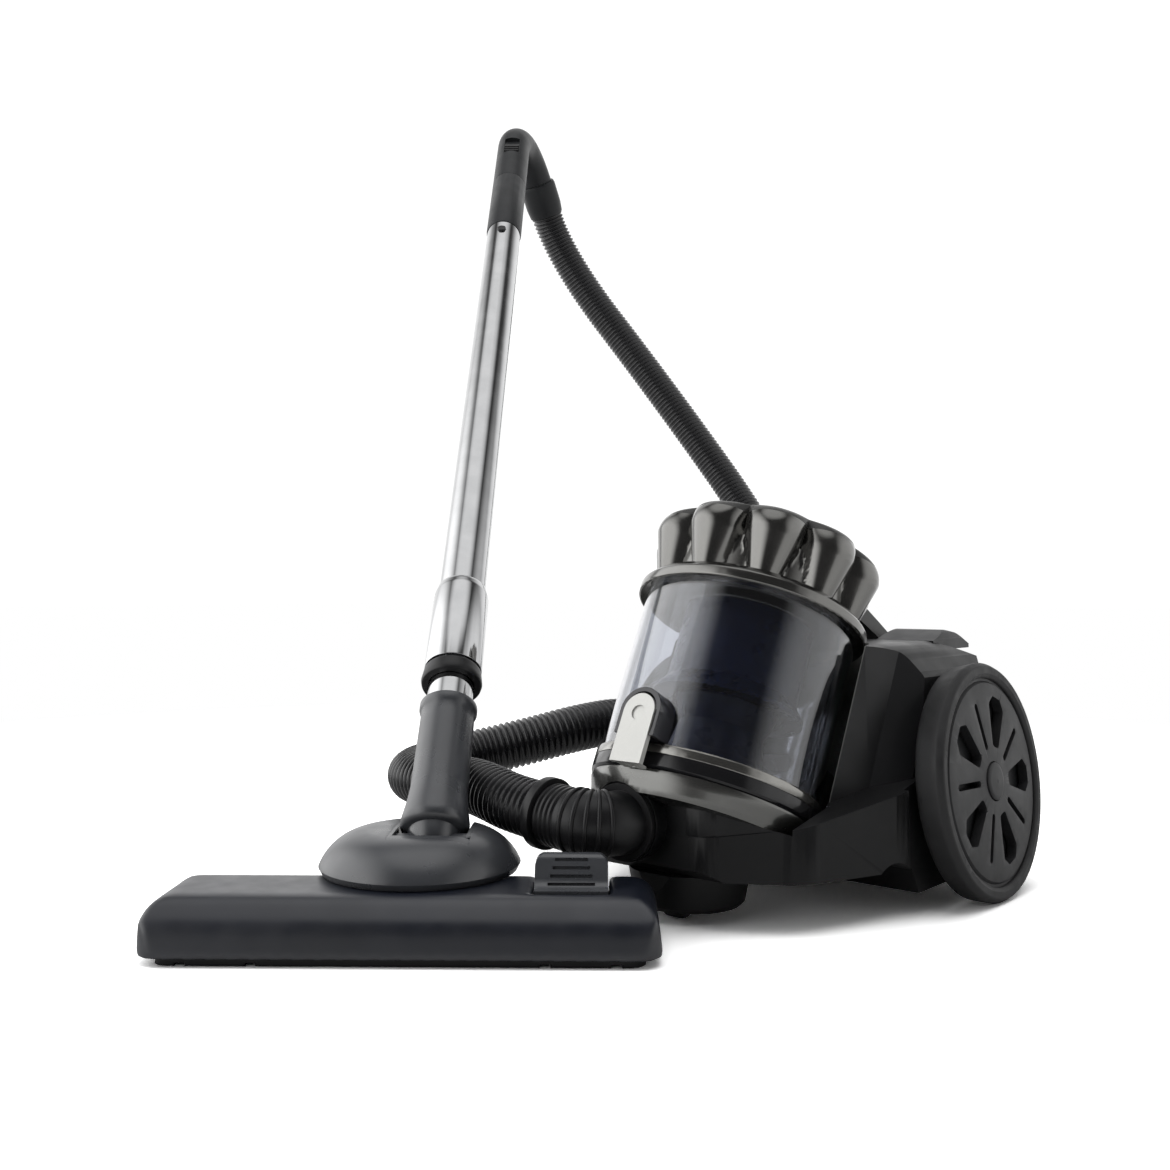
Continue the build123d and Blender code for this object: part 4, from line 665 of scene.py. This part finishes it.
def dome_height(x, y):
    """Height of the dome's skin over a point of the head."""
    reach = math.hypot(x - DOME_CENTRE[0], y - DOME_CENTRE[1])
    if reach <= DOME_SHOULDER[0]:
        return DOME_TOP + (DOME_SHOULDER[1] - DOME_TOP) * reach / DOME_SHOULDER[0]
    middle = arc_centre(*DOME_ARC)
    radius = math.dist(middle, DOME_ARC[0])
    return middle[1] + math.sqrt(max(radius ** 2 - (reach - middle[0]) ** 2, 0))


def dome_patch(name, x_range, y_range, low, grid):
    """A closed block whose top follows the dome."""
    columns, rows = grid
    tops, feet = [], []
    for j in range(rows + 1):
        y = y_range[0] + (y_range[1] - y_range[0]) * j / rows
        for i in range(columns + 1):
            x = x_range[0] + (x_range[1] - x_range[0]) * i / columns
            place = HEAD_ORIGIN + (HEAD_X * x + HEAD_Y * y) * MM
            high = max(dome_height(x, y), low + LEAST_WALL)
            tops.append(place + Vector((0, 0, high * MM)))
            feet.append(place + Vector((0, 0, low * MM)))
    count, wide = len(tops), columns + 1
    faces = []
    for j in range(rows):
        for i in range(columns):
            a = j * wide + i
            faces.append((a, a + 1, a + wide + 1, a + wide))
            b = count + a
            faces.append((b, b + wide, b + wide + 1, b + 1))
    edge = list(range(wide))
    edge += [j * wide + columns for j in range(1, rows + 1)]
    edge += [rows * wide + i for i in range(columns - 1, -1, -1)]
    edge += [j * wide for j in range(rows - 1, 0, -1)]
    for a, b in zip(edge, edge[1:] + edge[:1]):
        faces.append((a, b, count + b, count + a))
    new_piece(name, tops + feet, faces, dome_grey, "turret")


def dome_fillers():
    dome_patch("dome_bridge", (-SLOT_HALF, SLOT_HALF), BRIDGE, SLOT_FLOOR, BRIDGE_GRID)
    for side, name in ((-1, "left"), (1, "right")):
        across = sorted((side * CHEEK_IN, side * SLOT_HALF))
        beside = (BRIDGE[1], BARREL_REAR)
        behind = (BARREL_REAR, CHEEK_REAR)
        dome_patch(f"dome_sill_{name}", across, beside, BARREL_TOP, SILL_GRID)
        dome_patch(f"dome_cheek_{name}", across, behind, SLOT_FLOOR, CHEEK_GRID)


# Backing discs that close the wheels behind their windows; the wheels lean in at the top
WHEEL_X = 142.0
WHEEL_Z = 83.0
CAMBER = math.radians(7.0)
# Radius and depth of the disc's corners
BACKING = ((17.0, 9.6), (67.5, 10.2), (67.5, 11.6), (17.0, 11.6))


def wheel_backing(side, name):
    axis = Vector((side * math.cos(CAMBER), 0, math.sin(CAMBER)))
    middle = at(side * WHEEL_X, 0, WHEEL_Z)
    circles = [circle(middle - axis * depth * MM, axis, radius * MM) for radius, depth in BACKING]
    body = f"{name}_wheel"
    ring_piece(f"{body}_backing", circles, wheel_grey, body, closed=True)


# Crown of the lid: ten cone lobes with rounded shoulders, and the dark cap over them
LOBES = 10
LOBE_PITCH_R = 63.0
LOBE_FOOT_R = 11.0
LOBE_TOP_R = 22.0
LOBE_H = 38.0
LID_RING_H = 12.0
CORE_R = 65.0
INNER_R = 48.0
SHOULDER_H = 31.0
CROWN_TOP_H = 49.6
CROWN_R = 66.0
SHOULDER_FLARE = 4.0
# Share of the shoulder's bend where the cap begins, and the cap's seam, swell and flat middle
CAP_EDGE = 0.42
CAP_SEAM = 0.2
CAP_SWELL = 0.4
CAP_FLAT_R = 20.0
LOBE_SIDES = 28
WALL_STEPS = 8
SHOULDER_STEPS = 5
CAP_STEPS = 8


def lobe_reach(turn, height):
    """Distance from the bin's axis to the fluted wall."""
    step = 2 * math.pi / LOBES
    off = (turn % step) - step / 2
    radius = LOBE_FOOT_R + (LOBE_TOP_R - LOBE_FOOT_R) * height / LOBE_H
    aside = LOBE_PITCH_R * math.sin(off)
    if abs(aside) >= radius:
        return CORE_R
    return max(CORE_R, LOBE_PITCH_R * math.cos(off) + math.sqrt(radius ** 2 - aside ** 2))


def crown_ring(reach, height):
    """A ring round the bin's axis; reach gives the radius for each turn."""
    count = LOBES * LOBE_SIDES
    ring = []
    for k in range(count):
        turn = 2 * math.pi * k / count
        out = (BIN_SIDE * math.cos(turn) + BIN_BACK * math.sin(turn)) * reach(turn) * MM
        ring.append(BIN_ORIGIN + BIN_UP * (LID_RING_H + height) * MM + out)
    return ring


def shoulder_ring(share):
    """A ring on the rounded shoulder, from the fluted wall to the plain top."""
    bend = share * math.pi / 2
    height = SHOULDER_H + (CROWN_TOP_H - SHOULDER_H) * math.sin(bend)

    def reach(turn):
        low = lobe_reach(turn, SHOULDER_H + SHOULDER_FLARE * math.sin(bend))
        return CROWN_R + (low - CROWN_R) * math.cos(bend)

    return crown_ring(reach, height)


def round_ring(radius, height):
    return crown_ring(lambda turn: radius, height)


def crown():
    """The fluted crown and its cap, on the ring of the lid."""
    walls = []
    for k in range(WALL_STEPS + 1):
        height = SHOULDER_H * k / WALL_STEPS
        walls.append(crown_ring(lambda turn: lobe_reach(turn, height), height))
    walls += [shoulder_ring(CAP_EDGE * k / SHOULDER_STEPS) for k in range(1, SHOULDER_STEPS + 1)]
    top = SHOULDER_H + (CROWN_TOP_H - SHOULDER_H) * math.sin(CAP_EDGE * math.pi / 2)
    inner = [round_ring(INNER_R, top), round_ring(INNER_R, 0)]
    ring_piece(
        "cone_crown",
        walls + inner,
        lid_gunmetal,
        "bin",
        ("cyclone_lid",),
        closed=True,
    )

    low, high = top + CAP_SEAM, CROWN_TOP_H + CAP_SWELL
    shell = [round_ring(INNER_R, low)]
    for k in range(CAP_STEPS + 1):
        shell.append(shoulder_ring(CAP_EDGE + (1 - CAP_EDGE) * k / CAP_STEPS))
    shell.append(round_ring(CAP_FLAT_R, high))
    ends = [[BIN_ORIGIN + BIN_UP * (LID_RING_H + height) * MM] for height in (low, high)]
    circles = [ends[0], *shell, ends[1]]
    ring_piece("crown_cap", circles, cap_grey, "bin", ("lid_cap",))


# Latch: the lever and its bracket with their round tops lower down
LATCH_CUT = -105.0
LATCH_DROP = 16.0


def lowered(name, node, material, body):
    """A copy of a node whose upper part sits lower down the bin."""
    mesh = nodes[node].data.copy()
    mesh.name = name
    for vertex in mesh.vertices:
        if (vertex.co - BIN_ORIGIN).dot(BIN_UP) > LATCH_CUT * MM:
            vertex.co -= BIN_UP * LATCH_DROP * MM
    mesh.materials.clear()
    mesh.materials.append(material)
    piece = bpy.data.objects.new(name, mesh)
    bpy.context.collection.objects.link(piece)
    soften(piece, EDGE[node])
    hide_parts(node)
    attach(piece, body)


# Ribs round the elbow at the hose inlet
ELBOW_START = at(-14.0, -222.0, 67.0)
ELBOW_RISE = math.radians(5)
ELBOW_SIDE = Vector((-math.cos(ELBOW_RISE), 0, math.sin(ELBOW_RISE)))
ELBOW_OUT = Vector((0, -1, 0))
ELBOW_BEND_R = 22.0
ELBOW_R = 20.5
ELBOW_RIB_R = 1.5
ELBOW_RIB_SIDES = 12
ELBOW_RIBS = tuple(math.radians(a) for a in (34, 46, 58, 70, 82))


def elbow_ribs():
    for index, bend in enumerate(ELBOW_RIBS):
        across = ELBOW_SIDE * (1 - math.cos(bend)) + ELBOW_OUT * math.sin(bend)
        centre = ELBOW_START + across * ELBOW_BEND_R * MM
        axis = ELBOW_SIDE * math.sin(bend) + ELBOW_OUT * math.cos(bend)
        circles = []
        for k in range(ELBOW_RIB_SIDES):
            turn = 2 * math.pi * k / ELBOW_RIB_SIDES
            radius = (ELBOW_R + ELBOW_RIB_R * math.cos(turn)) * MM
            shift = axis * ELBOW_RIB_R * MM * math.sin(turn)
            circles.append(circle(centre + shift, axis, radius))
        name = f"elbow_rib_{index + 1}"
        ring_piece(name, circles, collar_black, "canister", closed=True)


# Studio: white all round for the eye; soft boxes above, behind and at both sides, and a dim room

FLOOR_HALF = 12.0
FLOOR_GREY = (0.45, 0.45, 0.45)
FLOOR_WHITE = (1.45, 1.45, 1.45)
FLOOR_FADE = (0.7, 1.3)
AHEAD = Vector((-math.sin(BEARING), math.cos(BEARING), 0))
RIGHT = Vector((AHEAD.y, -AHEAD.x, 0))
UP = Vector((0, 0, 1))
ROOM_LEVEL = 0.06
# Each soft box: its direction, where it starts and is full (as cosines), and its strength
SOFT_BOXES = (
    (UP, 0.8, 0.97, 1.1),
    (-RIGHT, 0.35, 0.8, 2.2),
    (AHEAD, 0.4, 0.8, 1.1),
    (RIGHT, 0.45, 0.9, 1.1),
)
# The white sheet behind the object, as seen through the clear cup
BACKDROP = (AHEAD, -0.1, 0.3, 1.0)

# Lamps: place and target as metres right, ahead and up of the object, size in metres and watts
STAGE_AHEAD = 0.95
LAMPS = {
    "key": ((-1.7, -0.1, 1.5), (0, 0, 0.2), (1.2, 1.6), 10),
    "top": ((0.2, -0.2, 2.4), (0, 0, 0.1), (2.4, 2.4), 38),
}


def stage_point(right, ahead, up):
    middle = Vector((EYE.x, EYE.y, 0)) + AHEAD * STAGE_AHEAD
    return middle + RIGHT * right + AHEAD * ahead + UP * up


def light(name, place, target, size, power):
    lamp = bpy.data.lights.new(name, "AREA")
    lamp.shape = "RECTANGLE"
    lamp.size, lamp.size_y = size
    lamp.energy = power
    holder = bpy.data.objects.new(name, lamp)
    holder.location = place
    holder.rotation_euler = (target - place).to_track_quat("-Z", "Y").to_euler()
    holder.visible_glossy = False
    bpy.context.collection.objects.link(holder)


def surroundings():
    """White where the eye looks, also through the cup; for the rest, soft boxes in a dim room."""
    world = bpy.data.worlds.new("studio")
    bpy.context.scene.world = world
    world.use_nodes = True
    tree = world.node_tree
    background = tree.nodes["Background"]
    background.inputs["Color"].default_value = (1, 1, 1, 1)

    def maths(operation, a, b):
        node = tree.nodes.new("ShaderNodeMath")
        node.operation = operation
        for socket, value in zip(node.inputs, (a, b)):
            if isinstance(value, float):
                socket.default_value = value
            else:
                tree.links.new(value, socket)
        return node.outputs[0]

    towards = tree.nodes.new("ShaderNodeTexCoord").outputs["Generated"]

    def soft_box(axis, start, end, strength):
        facing = tree.nodes.new("ShaderNodeVectorMath")
        facing.operation = "DOT_PRODUCT"
        facing.inputs[1].default_value = axis
        tree.links.new(towards, facing.inputs[0])
        ramp = tree.nodes.new("ShaderNodeMapRange")
        ramp.interpolation_type = "SMOOTHSTEP"
        for name, value in zip(RANGE_SOCKETS, (start, end, 0.0, strength)):
            ramp.inputs[name].default_value = value
        tree.links.new(facing.outputs["Value"], ramp.inputs["Value"])
        return ramp.outputs["Result"]

    level = ROOM_LEVEL
    for box in SOFT_BOXES:
        level = maths("MAXIMUM", soft_box(*box), level)
    path = tree.nodes.new("ShaderNodeLightPath").outputs
    through = maths("MULTIPLY", path["Is Transmission Ray"], soft_box(*BACKDROP))
    seen = maths("MAXIMUM", path["Is Camera Ray"], through)
    level = maths("MAXIMUM", level, seen)
    tree.links.new(level, background.inputs["Strength"])


def floor_sheet():
    """A pale floor that keeps the object's shadow and fades to white."""
    floor_mesh = bpy.data.meshes.new("floor")
    signs = ((-1, -1), (1, -1), (1, 1), (-1, 1))
    corners = [(x * FLOOR_HALF, y * FLOOR_HALF, 0) for x, y in signs]
    floor_mesh.from_pydata(corners, [], [(0, 1, 2, 3)])
    floor = bpy.data.objects.new("floor", floor_mesh)
    bpy.context.collection.objects.link(floor)
    shader = Shader("floor_white")
    eye_ray = shader.tree.nodes.new("ShaderNodeLightPath").outputs["Is Camera Ray"]
    paint = shader.tint(eye_ray, FLOOR_GREY, FLOOR_WHITE)
    near = shader.add("ShaderNodeBsdfDiffuse", Color=paint)
    far = shader.add("ShaderNodeEmission", Strength=1.0)
    reach = shader.add("ShaderNodeVectorMath", Vector=shader.coords)
    reach.operation = "LENGTH"
    fade = shader.spread(reach.outputs["Value"], 0.0, 1.0, *FLOOR_FADE)
    floor_paint = shader.add("ShaderNodeMixShader", Fac=fade)
    shader.tree.links.new(near.outputs[0], floor_paint.inputs[1])
    shader.tree.links.new(far.outputs[0], floor_paint.inputs[2])
    surface = shader.tree.nodes["Material Output"].inputs["Surface"]
    shader.tree.links.new(floor_paint.outputs[0], surface)
    floor_mesh.materials.append(shader.material)


def studio():
    floor_sheet()
    surroundings()
    for name, (place, target, size, power) in LAMPS.items():
        light(name, stage_point(*place), stage_point(*target), size, power)


add_camera()
studio()
finish_nodes()
ribbed_hose()
neck_foot()
dome_fillers()
wheel_backing(1, "left")
wheel_backing(-1, "right")
crown()
lowered("latch_plate", "latch_lever", latch_silver, "latch")
lowered("latch_frame", "latch_bracket", bracket_smoke, "bin")
elbow_ribs()

bpy.context.scene.view_settings.view_transform = "Standard"
